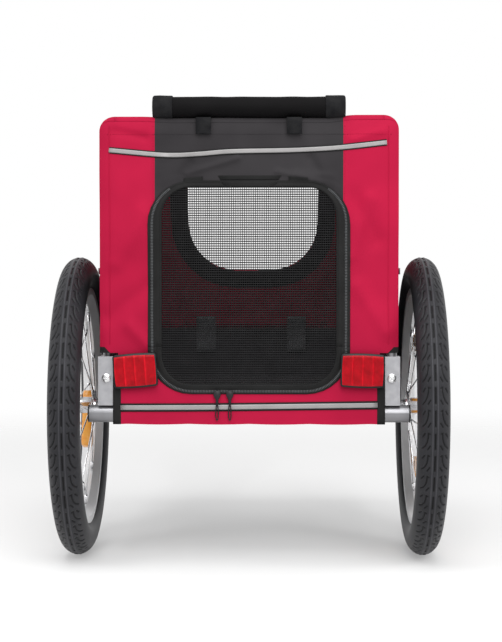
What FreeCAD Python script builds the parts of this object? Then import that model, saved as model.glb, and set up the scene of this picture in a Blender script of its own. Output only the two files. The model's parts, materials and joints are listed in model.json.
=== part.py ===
# Dog trailer for a bicycle: a fabric cabin on a folding steel frame with two 16 inch wheels.
# Millimetres, +Z up, +Y towards the bicycle, the origin on the ground under the middle of the whole part.
import FreeCAD, Part
import math
import operator
import os
from types import SimpleNamespace
import Sketcher

# The driving sizes. "Ahead" and "back" are measured along Y from the wheel axle.
SIZES = {
    "overall_length": 1170.0,
    "wheel_track": 458.0,
    "tyre_height": 47.0,
    "tyre_width": 42.0,
    "tyre_wall": 4.5,
    "tyre_crown_radius": 17.0,
    "rim_seat_diameter": 305.0,
    "rim_flange": 5.5,
    "rim_depth": 12.5,
    "rim_width": 28.0,
    "rim_wall": 2.8,
    "rim_taper": 9.5,
    "spoke_diameter": 2.0,
    "spoke_count": 20,
    "spoke_rim_offset": 3.0,
    "hub_length": 48.0,
    "hub_flange_diameter": 40.0,
    "hub_barrel_diameter": 22.0,
    "hub_nose_diameter": 18.0,
    "hub_nose_length": 4.5,
    "hub_flange_thickness": 3.0,
    "valve_diameter": 6.6,
    "valve_length": 27.7,
    "spoke_reflector_length": 80.0,
    "spoke_reflector_height": 24.0,
    "spoke_reflector_thickness": 13.0,
    "spoke_reflector_gap": 16.3,
    "axle_diameter": 12.0,
    "axle_grip": 44.0,
    "axle_head_diameter": 24.0,
    "axle_head_length": 7.7,
    "axle_tip_chamfer": 1.5,
    "sleeve_past_axle": 2.0,
    "button_diameter": 14.0,
    "button_proud": 4.0,
    "button_depth": 6.0,
    "button_travel": 2.7,
    "tube_diameter": 22.0,
    "tube_wall": 1.5,
    "rear_tube_back": 125.0,
    "rear_tube_length": 404.0,
    "plug_depth": 15.0,
    "plug_flange": 2.0,
    "front_tube_ahead": 385.0,
    "front_tube_length": 396.0,
    "rail_diameter": 20.0,
    "rail_wall": 1.2,
    "rail_spacing": 344.0,
    "sleeve_diameter": 16.0,
    "pivot_past_rail": 8.0,
    "pivot_rise": 46.0,
    "pivot_bolt_diameter": 8.0,
    "bolt_head_diameter": 11.0,
    "bolt_head_height": 3.5,
    "bolt_nut_diameter": 13.0,
    "bolt_nut_height": 6.0,
    "bolt_spacer_diameter": 12.0,
    "bracket_width": 21.0,
    "bracket_above_pivot": 27.0,
    "plate_thickness": 3.0,
    "hoop_diameter": 14.0,
    "hoop_wall": 1.2,
    "hoop_height": 318.0,
    "hoop_step": 8.0,
    "hoop_inset": 18.0,
    "hoop_top_length": 315.0,
    "hoop_foot": 10.0,
    "hoop_front_upright": 44.0,
    "hoop_corner_radius": 40.0,
    "hoop_knee_radius": 60.0,
    "board_width": 330.0,
    "board_thickness": 4.0,
    "fabric": 1.2,
    "body_width": 374.0,
    "body_below_axle": 11.5,
    "skirt_above_axle": 50.5,
    "notch_gap": 4.5,
    "notch_slope": 12.0,
    "door_width": 255.0,
    "door_above_axle": 25.5,
    "door_height": 269.0,
    "door_corner_radius": 55.0,
    "door_border_side": 17.5,
    "door_border_top": 8.0,
    "door_border_bottom": 12.0,
    "net_pitch": 14.0,
    "net_cord": 2.0,
    "hatch_width": 196.0,
    "hatch_back": 45.0,
    "hatch_above_axle": 182.5,
    "hatch_corner_radius": 70.0,
    "roll_diameter": 28.7,
    "roll_length": 241.0,
    "tab_width": 19.0,
    "tab_height": 20.0,
    "tab_spacing": 114.0,
    "reflector_width": 55.0,
    "reflector_height": 41.0,
    "reflector_depth": 7.0,
    "reflector_rim": 2.0,
    "reflector_spacing": 286.0,
    "reflector_above_axle": 55.5,
    "lens_proud": 1.5,
    "zip_slider_width": 9.0,
    "zip_slider_height": 10.0,
    "zip_slider_depth": 3.5,
    "zip_slider_gap": 16.0,
    "zip_middle": -32.0,
    "zip_lug": 1.8,
    "zip_pin_diameter": 2.0,
    "zip_eye_diameter": 5.2,
    "zip_pull_length": 24.0,
    "zip_pull_thickness": 1.8,
    "drawbar_side": 100.0,
    "drawbar_drop": 25.0,
    "drawbar_diameter": 22.0,
    "drawbar_wall": 1.8,
    "drawbar_start_ahead": 300.0,
    "drawbar_rise": 145.0,
    "drawbar_bend_radius": 90.0,
    "socket_wall": 3.0,
    "socket_length": 99.0,
    "socket_behind": 4.0,
    "lock_pin_diameter": 6.0,
    "lock_pin_back": 50.0,
    "lock_head_diameter": 14.0,
    "lock_head_length": 8.0,
    "lock_tip": 3.0,
    "swivel_pin_diameter": 8.0,
    "eye_diameter": 24.0,
    "eye_height": 24.0,
    "fork_width": 20.0,
    "fork_reach": 40.0,
    "fork_throat": 2.5,
    "fork_lug": 9.0,
    "fork_lug_corner": 7.0,
    "tilt_pin_diameter": 6.0,
    "hitch_plate_thickness": 6.0,
    "hitch_plate_width": 26.0,
    "hitch_drop": 35.0,
    "hitch_corner_radius": 12.5,
    "hitch_bore": 10.5,
    "running_clearance": 0.05,
    "seat_gap": 0.3,
    "cloth_gap": 0.5,
}

DOC = FreeCAD.newDocument("DogTrailer")
SHEET = DOC.addObject("Spreadsheet::Sheet", "Sizes")
OPERATIONS = {"+": operator.add, "-": operator.sub, "*": operator.mul, "/": operator.truediv}
SIDES = {"left": -1, "right": 1}
# Where the drawbar starts and stops rising, as shares of its length beyond the socket.
RISE_STARTS = 2 / 5
RISE_STOPS = 3 / 4
# How far the reflectors of each wheel stand turned from upright, in degrees.
REFLECTOR_TURNS = {"left": -108, "right": 0}
PIECES = []


class Size:
    """A size with its present value and the expression that works it out from the sheet."""

    def __init__(self, value, text):
        self.value = value
        self.text = text

    def combined(self, sign, other, swapped=False):
        other = other if isinstance(other, Size) else Size(other, f"({other})")
        first, second = (other, self) if swapped else (self, other)
        value = OPERATIONS[sign](first.value, second.value)
        return Size(value, f"({first.text} {sign} {second.text})")

    def __add__(self, other):
        return self.combined("+", other)

    def __radd__(self, other):
        return self.combined("+", other, True)

    def __sub__(self, other):
        return self.combined("-", other)

    def __rsub__(self, other):
        return self.combined("-", other, True)

    def __mul__(self, other):
        return self.combined("*", other)

    def __rmul__(self, other):
        return self.combined("*", other, True)

    def __truediv__(self, other):
        return self.combined("/", other)

    def __neg__(self):
        return self * -1

    def __float__(self):
        return float(self.value)


def fill_sheet():
    """Write the driving sizes into the sheet and give back one Size for each."""
    for row, (alias, value) in enumerate(SIZES.items(), 1):
        SHEET.set(f"A{row}", alias)
        SHEET.set(f"B{row}", str(value))
        SHEET.setAlias(f"B{row}", alias)
    DOC.recompute()
    return SimpleNamespace(**{alias: Size(value, f"Sizes.{alias}") for alias, value in SIZES.items()})


def bind(target, **sizes):
    """Tie an object's properties to sizes; a double underscore stands for a dot."""
    for name, size in sizes.items():
        path = name.replace("__", ".")
        target.setExpression(path, size.text if isinstance(size, Size) else str(size))


def put(target, x, y, z):
    bind(target, Placement__Base__x=x, Placement__Base__y=y, Placement__Base__z=z)
    return target


def new_body(label, x=0, y=0, z=0):
    body = DOC.addObject("PartDesign::Body", label)
    body.Label = label
    PIECES.append(body)
    return put(body, x, y, z)


def new_sketch(body, role, lift=0):
    """A sketch on one of the body's own origin planes, lifted along the plane's normal."""
    sketch = body.newObject("Sketcher::SketchObject", f"{body.Label}_{role[:2]}")
    plane = next(feature for feature in body.Origin.OriginFeatures if feature.Role == role)
    sketch.AttachmentSupport = (plane, [""])
    sketch.MapMode = "FlatFace"
    bind(sketch, AttachmentOffset__Base__z=lift)
    return sketch


def constrain(sketch, kind, *items):
    """Add a dimension whose last item is its size, and tie it to the sheet."""
    index = sketch.addConstraint(Sketcher.Constraint(kind, *items[:-1], float(items[-1])))
    if isinstance(items[-1], Size):
        bind(sketch, **{f"Constraints[{index}]": items[-1]})


def fix_point(sketch, geometry, point, x, y):
    constrain(sketch, "DistanceX", -1, 1, geometry, point, x)
    constrain(sketch, "DistanceY", -1, 1, geometry, point, y)


def circle(sketch, radius, x=0.0, y=0.0):
    middle = FreeCAD.Vector(float(x), float(y), 0)
    geometry = sketch.addGeometry(Part.Circle(middle, FreeCAD.Vector(0, 0, 1), float(radius)))
    fix_point(sketch, geometry, 3, x, y)
    constrain(sketch, "Radius", geometry, radius)


def corner_arc(before, corner, after, radius):
    """The arc that rounds a corner, where it starts and ends, and whether it turns left."""
    to_before = (before - corner).normalize()
    to_after = (after - corner).normalize()
    half = to_before.getAngle(to_after) / 2
    start = corner + to_before * (radius / math.tan(half))
    end = corner + to_after * (radius / math.tan(half))
    middle = corner + (to_before + to_after).normalize() * (radius / math.sin(half))
    left = to_before.cross(to_after).z < 0
    first, last = (start, end) if left else (end, start)
    angles = [math.atan2(p.y - middle.y, p.x - middle.x) for p in (first, last)]
    ring = Part.Circle(middle, FreeCAD.Vector(0, 0, 1), radius)
    return Part.ArcOfCircle(ring, angles[0], angles[1]), start, end, left


def run(sketch, corners, closed=True):
    """Lines through the corners (x, y) or, where they are rounded, (x, y, radius)."""
    count = len(corners)
    points = [FreeCAD.Vector(float(c[0]), float(c[1]), 0) for c in corners]
    rounds = {}
    for i, c in enumerate(corners):
        if len(c) == 3:
            rounds[i] = corner_arc(points[i - 1], points[i], points[(i + 1) % count], float(c[2]))
    lines = []
    for i in range(count if closed else count - 1):
        j = (i + 1) % count
        start = rounds[i][2] if i in rounds else points[i]
        end = rounds[j][1] if j in rounds else points[j]
        lines.append(sketch.addGeometry(Part.LineSegment(start, end)))
    for i, c in enumerate(corners):
        came = lines[i - 1] if closed or i else None
        goes = lines[i] if i < len(lines) else None
        if i not in rounds:
            fix_point(sketch, *((goes, 1) if goes is not None else (came, 2)), c[0], c[1])
            if came is not None and goes is not None:
                sketch.addConstraint(Sketcher.Constraint("Coincident", came, 2, goes, 1))
            continue
        corner = sketch.addGeometry(Part.Point(points[i]), True)
        fix_point(sketch, corner, 1, c[0], c[1])
        arc = sketch.addGeometry(rounds[i][0])
        first, last = (1, 2) if rounds[i][3] else (2, 1)
        for line in (came, goes):
            sketch.addConstraint(Sketcher.Constraint("PointOnObject", corner, 1, line))
        sketch.addConstraint(Sketcher.Constraint("Tangent", came, 2, arc, first))
        sketch.addConstraint(Sketcher.Constraint("Tangent", goes, 1, arc, last))
        constrain(sketch, "Radius", arc, c[2])
    return sketch


def pad(body, sketch, length, symmetric=False, backwards=False):
    feature = body.newObject("PartDesign::Pad", f"{body.Label}_pad")
    feature.Profile = sketch
    feature.SideType = "Symmetric" if symmetric else "One side"
    feature.Reversed = backwards
    bind(feature, Length=length)


def pocket_through(body, sketch):
    """Cut the sketch right through the body, both ways from its plane."""
    DOC.recompute()
    before = body.Shape.Volume
    feature = body.newObject("PartDesign::Pocket", f"{body.Label}_pocket")
    feature.Profile = sketch
    feature.Type = "ThroughAll"
    feature.SideType = "Symmetric"
    DOC.recompute()
    if body.Shape.Volume >= before:
        raise RuntimeError(f"{body.Label}: a pocket cut nothing")


def revolve(body, sketch, axis="H_Axis"):
    feature = body.newObject("PartDesign::Revolution", f"{body.Label}_revolution")
    feature.Profile = sketch
    feature.ReferenceAxis = (sketch, [axis])
    feature.Angle = 360


def pipe(body, profile, spine):
    DOC.recompute()
    feature = body.newObject("PartDesign::AdditivePipe", f"{body.Label}_pipe")
    feature.Profile = profile
    feature.Spine = (spine, [f"Edge{i + 1}" for i in range(len(spine.Shape.Edges))])


def box(name, length, width, height, x, y, z):
    """A box centred on x, with its rear lower edge at y and z."""
    block = DOC.addObject("Part::Box", name)
    bind(block, Length=length, Width=width, Height=height)
    return put(block, x - length / 2, y, z)


def rod(name, radius, length, x, y, z):
    """A cylinder along X, centred on x, y and z."""
    cylinder = DOC.addObject("Part::Cylinder", name)
    cylinder.Placement.Rotation = FreeCAD.Rotation(FreeCAD.Vector(0, 1, 0), 90)
    bind(cylinder, Radius=radius, Height=length)
    return put(cylinder, x - length / 2, y, z)


def joined(label, *shapes):
    fuse = DOC.addObject("Part::MultiFuse", label)
    fuse.Shapes = list(shapes)
    fuse.Label = label
    return fuse


def cut(label, base, tool):
    difference = DOC.addObject("Part::Cut", label)
    difference.Base = base
    difference.Tool = tool
    difference.Label = label
    return difference


def piece(shape):
    PIECES.append(shape)
    return shape


d = fill_sheet()

# Places that several pieces share.
wheel_r = d.rim_seat_diameter / 2 + d.tyre_height
axle_y = wheel_r - d.overall_length / 2
axle_z = wheel_r
tube_r = d.tube_diameter / 2
hoop_r = d.hoop_diameter / 2
rear_y = axle_y - d.rear_tube_back
front_y = axle_y + d.front_tube_ahead
frame_top = axle_z + tube_r
pivot_x = d.rail_spacing / 2 + d.pivot_past_rail
pivot_z = axle_z + d.pivot_rise
cheek_offset = hoop_r + d.seat_gap + d.plate_thickness
bracket_top = pivot_z + d.bracket_above_pivot
hoop_top = pivot_z + d.hoop_height
roof_under = hoop_top + hoop_r + d.seat_gap
roof_over = roof_under + d.fabric
half_body = d.body_width / 2
body_bottom = axle_z - d.body_below_axle
skirt_top = axle_z + d.skirt_above_axle
door_bottom = axle_z + d.door_above_axle
door_top = door_bottom + d.door_height
rear_inside = rear_y - tube_r - d.seat_gap
rear_outside = rear_inside - d.fabric
front_inside = front_y + tube_r + d.seat_gap
front_outside = front_inside + d.fabric
knee_z = pivot_z + d.hoop_front_upright
front_lean = (d.front_tube_ahead + d.rear_tube_back - d.hoop_top_length) / (hoop_top - knee_z)
front_top = front_inside - (roof_under - knee_z) * front_lean
notch_x = pivot_x - d.bracket_width / 2 - d.notch_gap
notch_z = bracket_top + d.notch_gap
notch_rear = rear_y + d.hoop_inset + cheek_offset + d.bolt_nut_height + d.notch_gap
notch_front = front_y - d.hoop_inset - cheek_offset - d.bolt_nut_height - d.notch_gap
side_inside = half_body + d.seat_gap
sleeve_end = d.wheel_track / 2 - d.hub_length / 2 - d.seat_gap
rim_inner = d.rim_seat_diameter / 2 - d.rim_depth
drawbar_z = axle_z - d.drawbar_drop
hitch_z = drawbar_z + d.drawbar_rise
tilt_y = d.overall_length / 2 - d.hitch_plate_width / 2
swivel_y = tilt_y - d.fork_reach


def cross_tube(label, length, y):
    body = new_body(label, -length / 2)
    ring = new_sketch(body, "YZ_Plane")
    circle(ring, tube_r, y, axle_z)
    circle(ring, tube_r - d.tube_wall, y, axle_z)
    pad(body, ring, length)


def tube_plug(name, side):
    """A push-in cap that closes an end of the rear tube."""
    body = new_body(f"rear_tube_plug_{name}", side * d.rear_tube_length / 2, rear_y, axle_z)
    bore = tube_r - d.tube_wall - d.running_clearance
    outline = new_sketch(body, "XY_Plane")
    inner = -side * d.plug_depth
    face = side * d.plug_flange
    run(outline, [(inner, 0), (inner, bore), (0, bore), (0, tube_r), (face, tube_r), (face, 0)])
    revolve(body, outline)


def side_rail(name, side):
    """A rail between the cross tubes, shaped to both, with a cross hole for the axle sleeve."""
    body = new_body(f"side_rail_{name}", side * d.rail_spacing / 2, rear_y)
    ring = new_sketch(body, "XZ_Plane")
    circle(ring, d.rail_diameter / 2, 0, axle_z)
    circle(ring, d.rail_diameter / 2 - d.rail_wall, 0, axle_z)
    pad(body, ring, front_y - rear_y, backwards=True)
    ends = new_sketch(body, "YZ_Plane")
    circle(ends, tube_r + d.running_clearance, 0, axle_z)
    circle(ends, tube_r + d.running_clearance, front_y - rear_y, axle_z)
    circle(ends, d.sleeve_diameter / 2 + d.running_clearance, axle_y - rear_y, axle_z)
    pocket_through(body, ends)


def axle_sleeve(name, side):
    """The socket in the frame that takes one stub axle."""
    length = d.axle_grip + d.sleeve_past_axle
    body = new_body(f"axle_sleeve_{name}", side * sleeve_end)
    ring = new_sketch(body, "YZ_Plane")
    circle(ring, d.sleeve_diameter / 2, axle_y, axle_z)
    circle(ring, d.axle_diameter / 2 + d.running_clearance, axle_y, axle_z)
    pad(body, ring, length, backwards=side > 0)


def hinge_bracket(end, name, side, outer, inner, leg):
    """A channel on a cross tube, with a bolt that carries one foot of a hoop."""
    thick = d.plate_thickness * (1 if end == "rear" else -1)
    base = frame_top + d.running_clearance
    floor = base + d.plate_thickness
    body = new_body(f"hinge_bracket_{end}_{name}", side * pivot_x)
    channel = new_sketch(body, "YZ_Plane")
    run(channel, [(outer, base), (inner, base), (inner, bracket_top), (inner - thick, bracket_top),
                  (inner - thick, floor), (outer + thick, floor), (outer + thick, bracket_top),
                  (outer, bracket_top)])
    pad(body, channel, d.bracket_width, symmetric=True)
    hole = new_sketch(body, "XZ_Plane")
    circle(hole, d.pivot_bolt_diameter / 2 + d.running_clearance, 0, pivot_z)
    pocket_through(body, hole)
    pivot_bolt(end, name, side, outer, inner, leg)


def pivot_bolt(end, name, side, outer, inner, leg):
    """A fold pivot: head, shank, a spacer that sets the hoop's place, and its lock nut."""
    ahead = 1 if end == "rear" else -1
    shank = d.pivot_bolt_diameter / 2
    head = d.bolt_head_diameter / 2
    nut = d.bolt_nut_diameter / 2
    spacer = d.bolt_spacer_diameter / 2
    seat = ahead * d.running_clearance
    under_head = outer - seat
    head_end = outer - ahead * d.bolt_head_height
    nut_start = inner + seat
    nut_end = inner + ahead * d.bolt_nut_height
    body = new_body(f"pivot_bolt_{end}_{name}", side * pivot_x, 0, pivot_z)
    outline = new_sketch(body, "XY_Plane")
    corners = [(0, head_end), (head, head_end), (head, under_head), (shank, under_head)]
    if name == "left":
        spacer_start = outer + ahead * d.plate_thickness + seat
        spacer_end = leg - ahead * (hoop_r + d.seat_gap)
        corners += [(shank, spacer_start), (spacer, spacer_start)]
        corners += [(spacer, spacer_end), (shank, spacer_end)]
    corners += [(shank, nut_start), (nut, nut_start), (nut, nut_end), (0, nut_end)]
    run(outline, corners)
    revolve(body, outline, "V_Axis")


def hoop(name, side):
    """A bent tube that holds up one side of the cabin; the left one folds inside the right one."""
    inset = d.hoop_inset if name == "left" else 0
    height = d.hoop_foot + d.hoop_height - (d.hoop_step if name == "left" else 0)
    length = front_y - rear_y - 2 * inset
    top = d.hoop_top_length - 2 * inset
    body = new_body(f"hoop_{name}", side * pivot_x, rear_y + inset, pivot_z - d.hoop_foot)
    ring = new_sketch(body, "XY_Plane")
    circle(ring, hoop_r)
    circle(ring, hoop_r - d.hoop_wall)
    spine = new_sketch(body, "YZ_Plane")
    knee = d.hoop_foot + d.hoop_front_upright
    run(spine, [(0, 0), (0, height, d.hoop_corner_radius), (top, height, d.hoop_corner_radius),
                (length, knee, d.hoop_knee_radius), (length, 0)], closed=False)
    pipe(body, ring, spine)
    holes = new_sketch(body, "XZ_Plane")
    circle(holes, d.pivot_bolt_diameter / 2 + d.running_clearance, 0, d.hoop_foot)
    pocket_through(body, holes)


def side_panel(name, side):
    """The fabric side, sewn to its hoop and notched round the fold brackets."""
    body = new_body(f"side_panel_{name}", side * side_inside)
    outline = new_sketch(body, "YZ_Plane")
    run(outline, [(notch_rear, skirt_top), (notch_front, skirt_top), (notch_front, notch_z),
                  (front_outside, notch_z), (front_outside, knee_z), (front_top, roof_over),
                  (rear_outside, roof_over), (rear_outside, notch_z), (notch_rear, notch_z)])
    pad(body, outline, d.fabric, backwards=side < 0)


def side_skirt(name, side):
    """The lower fabric edge, which stays on the floor frame when the sides fold."""
    body = new_body(f"side_skirt_{name}", side * side_inside)
    outline = new_sketch(body, "YZ_Plane")
    top = skirt_top - d.cloth_gap
    run(outline, [(notch_rear, body_bottom), (notch_front, body_bottom),
                  (notch_front, top), (notch_rear, top)])
    circle(outline, d.sleeve_diameter / 2 + d.seat_gap, axle_y, axle_z)
    pad(body, outline, d.fabric, backwards=side < 0)


def floor_board():
    depth = front_y - rear_y + tube_r
    block = box("floor_board", d.board_width, depth, d.board_thickness,
                0, rear_y - tube_r / 2, frame_top + d.seat_gap)
    piece(block)


def door_corners(side_in, top_in, bottom_in, radius):
    """The door's rounded outline, drawn in from its edges."""
    half = d.door_width / 2 - side_in
    low = door_bottom + bottom_in
    high = door_top - top_in
    return [(-half, low, radius), (half, low, radius), (half, high, radius), (-half, high, radius)]


def rear_panel():
    body = new_body("rear_panel", 0, rear_inside)
    outline = new_sketch(body, "XZ_Plane")
    top = roof_under - d.seat_gap
    notch_low = notch_z - d.notch_slope
    run(outline, [(-notch_x, body_bottom), (notch_x, body_bottom), (notch_x, notch_low),
                  (half_body, notch_z), (half_body, top), (-half_body, top), (-half_body, notch_z),
                  (-notch_x, notch_low)])
    gap = -d.cloth_gap
    run(outline, door_corners(gap, gap, gap, d.door_corner_radius))
    pad(body, outline, d.fabric)


def rear_door():
    """The roll-up door: a sewn border with a net in it."""
    border = new_body("door_border", 0, rear_inside)
    outline = new_sketch(border, "XZ_Plane")
    run(outline, door_corners(0, 0, 0, d.door_corner_radius))
    inner_radius = d.door_corner_radius - d.door_border_side
    edges = (d.door_border_side, d.door_border_top, d.door_border_bottom)
    run(outline, door_corners(*edges, inner_radius))
    pad(border, outline, d.fabric)
    net = DOC.addObject("Part::Feature", "door_net")
    net.Shape = net_shape([edge + d.seat_gap for edge in edges], inner_radius)
    piece(put(net, 0, rear_inside, 0))


def net_shape(edges, radius):
    """One holed face, with square gaps wherever a whole gap fits, given its thickness."""
    corners = [[float(value) for value in corner] for corner in door_corners(*edges, radius)]
    (left, low, r), (right, high) = corners[0], corners[2][:2]
    pitch = float(d.net_pitch)
    gap = pitch - float(d.net_cord)
    columns = int((right - left - pitch) // pitch)
    rows = int((high - low - pitch) // pitch)
    first_x = (left + right - (columns - 1) * pitch) / 2
    first_z = (low + high - (rows - 1) * pitch) / 2
    facing = (FreeCAD.Vector(0, -1, 0), FreeCAD.Vector(1, 0, 0))
    outline = Part.makePlane(right - left, high - low, FreeCAD.Vector(left, 0, low), *facing)
    plate = outline.extrude(FreeCAD.Vector(0, -float(d.fabric), 0))
    upright = [edge for edge in plate.Edges if edge.BoundBox.YLength > float(d.fabric) / 2]
    plate = plate.makeFillet(r, upright)
    face = next(f for f in plate.Faces if f.normalAt(0, 0).y > 1 / 2)
    holes = []
    for column in range(columns):
        for row in range(rows):
            x = first_x + column * pitch - gap / 2
            z = first_z + row * pitch - gap / 2
            reach_x = max(left + r - x, x + gap - right + r, 0)
            reach_z = max(low + r - z, z + gap - high + r, 0)
            if math.hypot(reach_x, reach_z) < r - float(d.net_cord):
                holes.append(Part.makePlane(gap, gap, FreeCAD.Vector(x, 0, z), *facing))
    holed = face.cut(Part.makeCompound(holes))
    return holed.Faces[0].extrude(FreeCAD.Vector(0, -float(d.fabric), 0))


def front_panel():
    """The leaning front, with a hatch cut down from its top edge."""
    body = new_body("front_panel")
    strip = new_sketch(body, "YZ_Plane")
    top = roof_under - d.seat_gap
    lean = (top - knee_z) * front_lean
    run(strip, [(front_inside, body_bottom), (front_outside, body_bottom), (front_outside, knee_z),
                (front_outside - lean, top), (front_inside - lean, top), (front_inside, knee_z)])
    pad(body, strip, d.body_width, symmetric=True)
    half = d.hatch_width / 2
    above = top + d.notch_gap
    hatch = new_sketch(body, "XZ_Plane")
    low = axle_z + d.hatch_above_axle
    radius = d.hatch_corner_radius
    run(hatch, [(-half, low, radius), (half, low, radius), (half, above), (-half, above)])
    pocket_through(body, hatch)
    below = body_bottom - d.notch_gap
    notch_low = notch_z - d.notch_slope
    past = half_body + d.notch_gap
    for side in SIDES.values():
        notch = new_sketch(body, "XZ_Plane")
        run(notch, [(side * notch_x, below), (side * past, below), (side * past, notch_z),
                    (side * half_body, notch_z), (side * notch_x, notch_low)])
        pocket_through(body, notch)


def roof():
    body = new_body("roof_panel", 0, 0, roof_under)
    outline = new_sketch(body, "XY_Plane")
    half = d.hatch_width / 2
    hatch_rear = rear_outside + d.hatch_back
    run(outline, [(-half_body, rear_outside), (half_body, rear_outside), (half_body, front_top),
                  (half, front_top), (half, hatch_rear), (-half, hatch_rear), (-half, front_top),
                  (-half_body, front_top)])
    pad(body, outline, d.fabric)
    radius = d.roll_diameter / 2
    roll_z = roof_over + d.seat_gap + radius
    piece(rod("cover_roll", radius, d.roll_length, 0, rear_outside + radius, roll_z))
    for name, side in SIDES.items():
        piece(box(f"cover_tab_{name}", d.tab_width, d.fabric, d.tab_height, side * d.tab_spacing / 2,
                  rear_outside - d.seat_gap - d.fabric, roof_over - d.tab_height))


def reflector(name, side):
    x = side * d.reflector_spacing / 2
    low = axle_z + d.reflector_above_axle - d.reflector_height / 2
    back = rear_outside - d.seat_gap - d.reflector_depth
    shell = box(f"reflector_shell_{name}", d.reflector_width, d.reflector_depth, d.reflector_height,
                x, back, low)
    rim = d.reflector_rim
    recess = box(f"reflector_recess_{name}", d.reflector_width - 2 * rim, d.reflector_depth - rim,
                 d.reflector_height - 2 * rim, x, back, low + rim)
    piece(cut(f"reflector_housing_{name}", shell, recess))
    edge = rim + d.seat_gap
    piece(box(f"reflector_lens_{name}", d.reflector_width - 2 * edge,
              d.reflector_depth - edge + d.lens_proud, d.reflector_height - 2 * edge,
              x, back - d.lens_proud, low + edge))


def zip_slider(name, side):
    """A slider on the door's zip, with the pull that hangs from its pin."""
    x = d.zip_middle + side * d.zip_slider_gap / 2
    eye = d.zip_eye_diameter / 2
    slider_top = door_bottom - d.cloth_gap
    slider_low = slider_top - d.zip_slider_height
    face = rear_outside - d.seat_gap
    block = box(f"zip_block_{name}", d.zip_slider_width, d.zip_slider_depth, d.zip_slider_height,
                x, face - d.zip_slider_depth, slider_low)
    pin_y = face - d.seat_gap - d.running_clearance - eye
    pin_z = slider_low - d.seat_gap - eye
    lug_shift = (d.zip_slider_width - d.zip_lug) / 2
    lug_low = slider_low - d.zip_eye_diameter
    lug_height = d.zip_eye_diameter + d.seat_gap
    lugs = [box(f"zip_lug_{name}_{end}", d.zip_lug, d.zip_eye_diameter, lug_height,
                x + sign * lug_shift, pin_y - eye, lug_low) for end, sign in SIDES.items()]
    pin = rod(f"zip_pin_{name}", d.zip_pin_diameter / 2, d.zip_slider_width, x, pin_y, pin_z)
    piece(joined(f"zip_slider_{name}", block, *lugs, pin))
    width = d.zip_slider_width - 2 * d.zip_lug - 2 * d.seat_gap
    ring = rod(f"zip_eye_{name}", eye, width, x, pin_y, pin_z)
    blade = box(f"zip_blade_{name}", width, d.zip_pull_thickness, d.zip_pull_length,
                x, pin_y - d.zip_pull_thickness / 2, pin_z - d.zip_pull_length)
    bore_radius = d.zip_pin_diameter / 2 + d.running_clearance
    bore = rod(f"zip_bore_{name}", bore_radius, d.zip_slider_width, x, pin_y, pin_z)
    piece(cut(f"zip_pull_{name}", joined(f"zip_pull_blank_{name}", ring, blade), bore))


def wheel_body(label, side):
    return new_body(label, side * d.wheel_track / 2, axle_y, axle_z)


def mirrored(half):
    """Both halves of an outline from the one with x below zero, listed towards zero."""
    return half + [(-corner[0], *corner[1:]) for corner in reversed(half)]


def wheel(name, side):
    seat = d.rim_seat_diameter / 2
    lip = seat + d.rim_flange
    half_rim = d.rim_width / 2
    channel = half_rim - d.rim_wall
    rim = wheel_body(f"rim_{name}", side)
    outline = new_sketch(rim, "XY_Plane")
    run(outline, mirrored([(-channel, seat), (-channel, lip), (-half_rim, lip),
                           (-half_rim, rim_inner + d.rim_taper), (d.rim_taper - half_rim, rim_inner)]))
    revolve(rim, outline)
    tyre(name, side, seat + d.seat_gap, lip + d.rim_flange / 2, channel - d.seat_gap)
    hub(name, side)
    spokes = DOC.addObject("Part::Feature", f"spokes_{name}")
    spokes.Shape = spoke_shape()
    piece(put(spokes, side * d.wheel_track / 2, axle_y, axle_z))
    valve = DOC.addObject("Part::Cylinder", f"valve_{name}")
    bind(valve, Radius=d.valve_diameter / 2, Height=d.valve_length)
    piece(put(valve, side * d.wheel_track / 2, axle_y, axle_z - rim_inner + d.seat_gap))
    spoke_reflectors(name, side)


def tyre(name, side, foot, neck, bead):
    """A hollow tyre whose beads sit between the rim's flanges."""
    half = d.tyre_width / 2
    shoulder = neck + half / 2
    inner_bead = bead - d.tyre_wall
    inner_half = half - d.tyre_wall
    outside = [(-bead, foot), (-bead, neck), (-half, shoulder), (-half, wheel_r, d.tyre_crown_radius)]
    inside = [(-inner_bead, foot), (-inner_bead, neck), (-inner_half, shoulder),
              (-inner_half, wheel_r - d.tyre_wall, d.tyre_crown_radius - d.tyre_wall)]
    body = wheel_body(f"tyre_{name}", side)
    outline = new_sketch(body, "XY_Plane")
    run(outline, mirrored(outside) + mirrored(inside)[::-1])
    revolve(body, outline)


def hub(name, side):
    half = d.hub_length / 2
    flange_out = half - d.hub_nose_length
    flange_in = flange_out - d.hub_flange_thickness
    nose = d.hub_nose_diameter / 2
    flange = d.hub_flange_diameter / 2
    barrel = d.hub_barrel_diameter / 2
    bore = d.axle_diameter / 2 + d.running_clearance
    body = wheel_body(f"hub_{name}", side)
    outline = new_sketch(body, "XY_Plane")
    run(outline, mirrored([(-half, bore), (-half, nose), (-flange_out, nose), (-flange_out, flange),
                           (-flange_in, flange), (-flange_in, barrel)]))
    revolve(body, outline)


def spoke_shape():
    """Straight spokes, laid in turn to the hub's two flanges."""
    hub_radius = float(d.hub_flange_diameter / 2 + d.seat_gap)
    rim_radius = float(rim_inner - d.seat_gap)
    hub_offset = float(d.hub_length / 2 - d.hub_nose_length - d.hub_flange_thickness / 2)
    rim_offset = float(d.spoke_rim_offset)
    count = int(float(d.spoke_count))
    spokes = []
    for i in range(count):
        angle = (2 * i + 1) * math.pi / count
        flange = 1 if i % 2 else -1
        outward = FreeCAD.Vector(0, math.cos(angle), math.sin(angle))
        start = FreeCAD.Vector(flange * hub_offset, 0, 0) + outward * hub_radius
        end = FreeCAD.Vector(flange * rim_offset, 0, 0) + outward * rim_radius
        along = end - start
        spokes.append(Part.makeCylinder(float(d.spoke_diameter / 2), along.Length, start, along))
    return Part.makeCompound(spokes)


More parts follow.
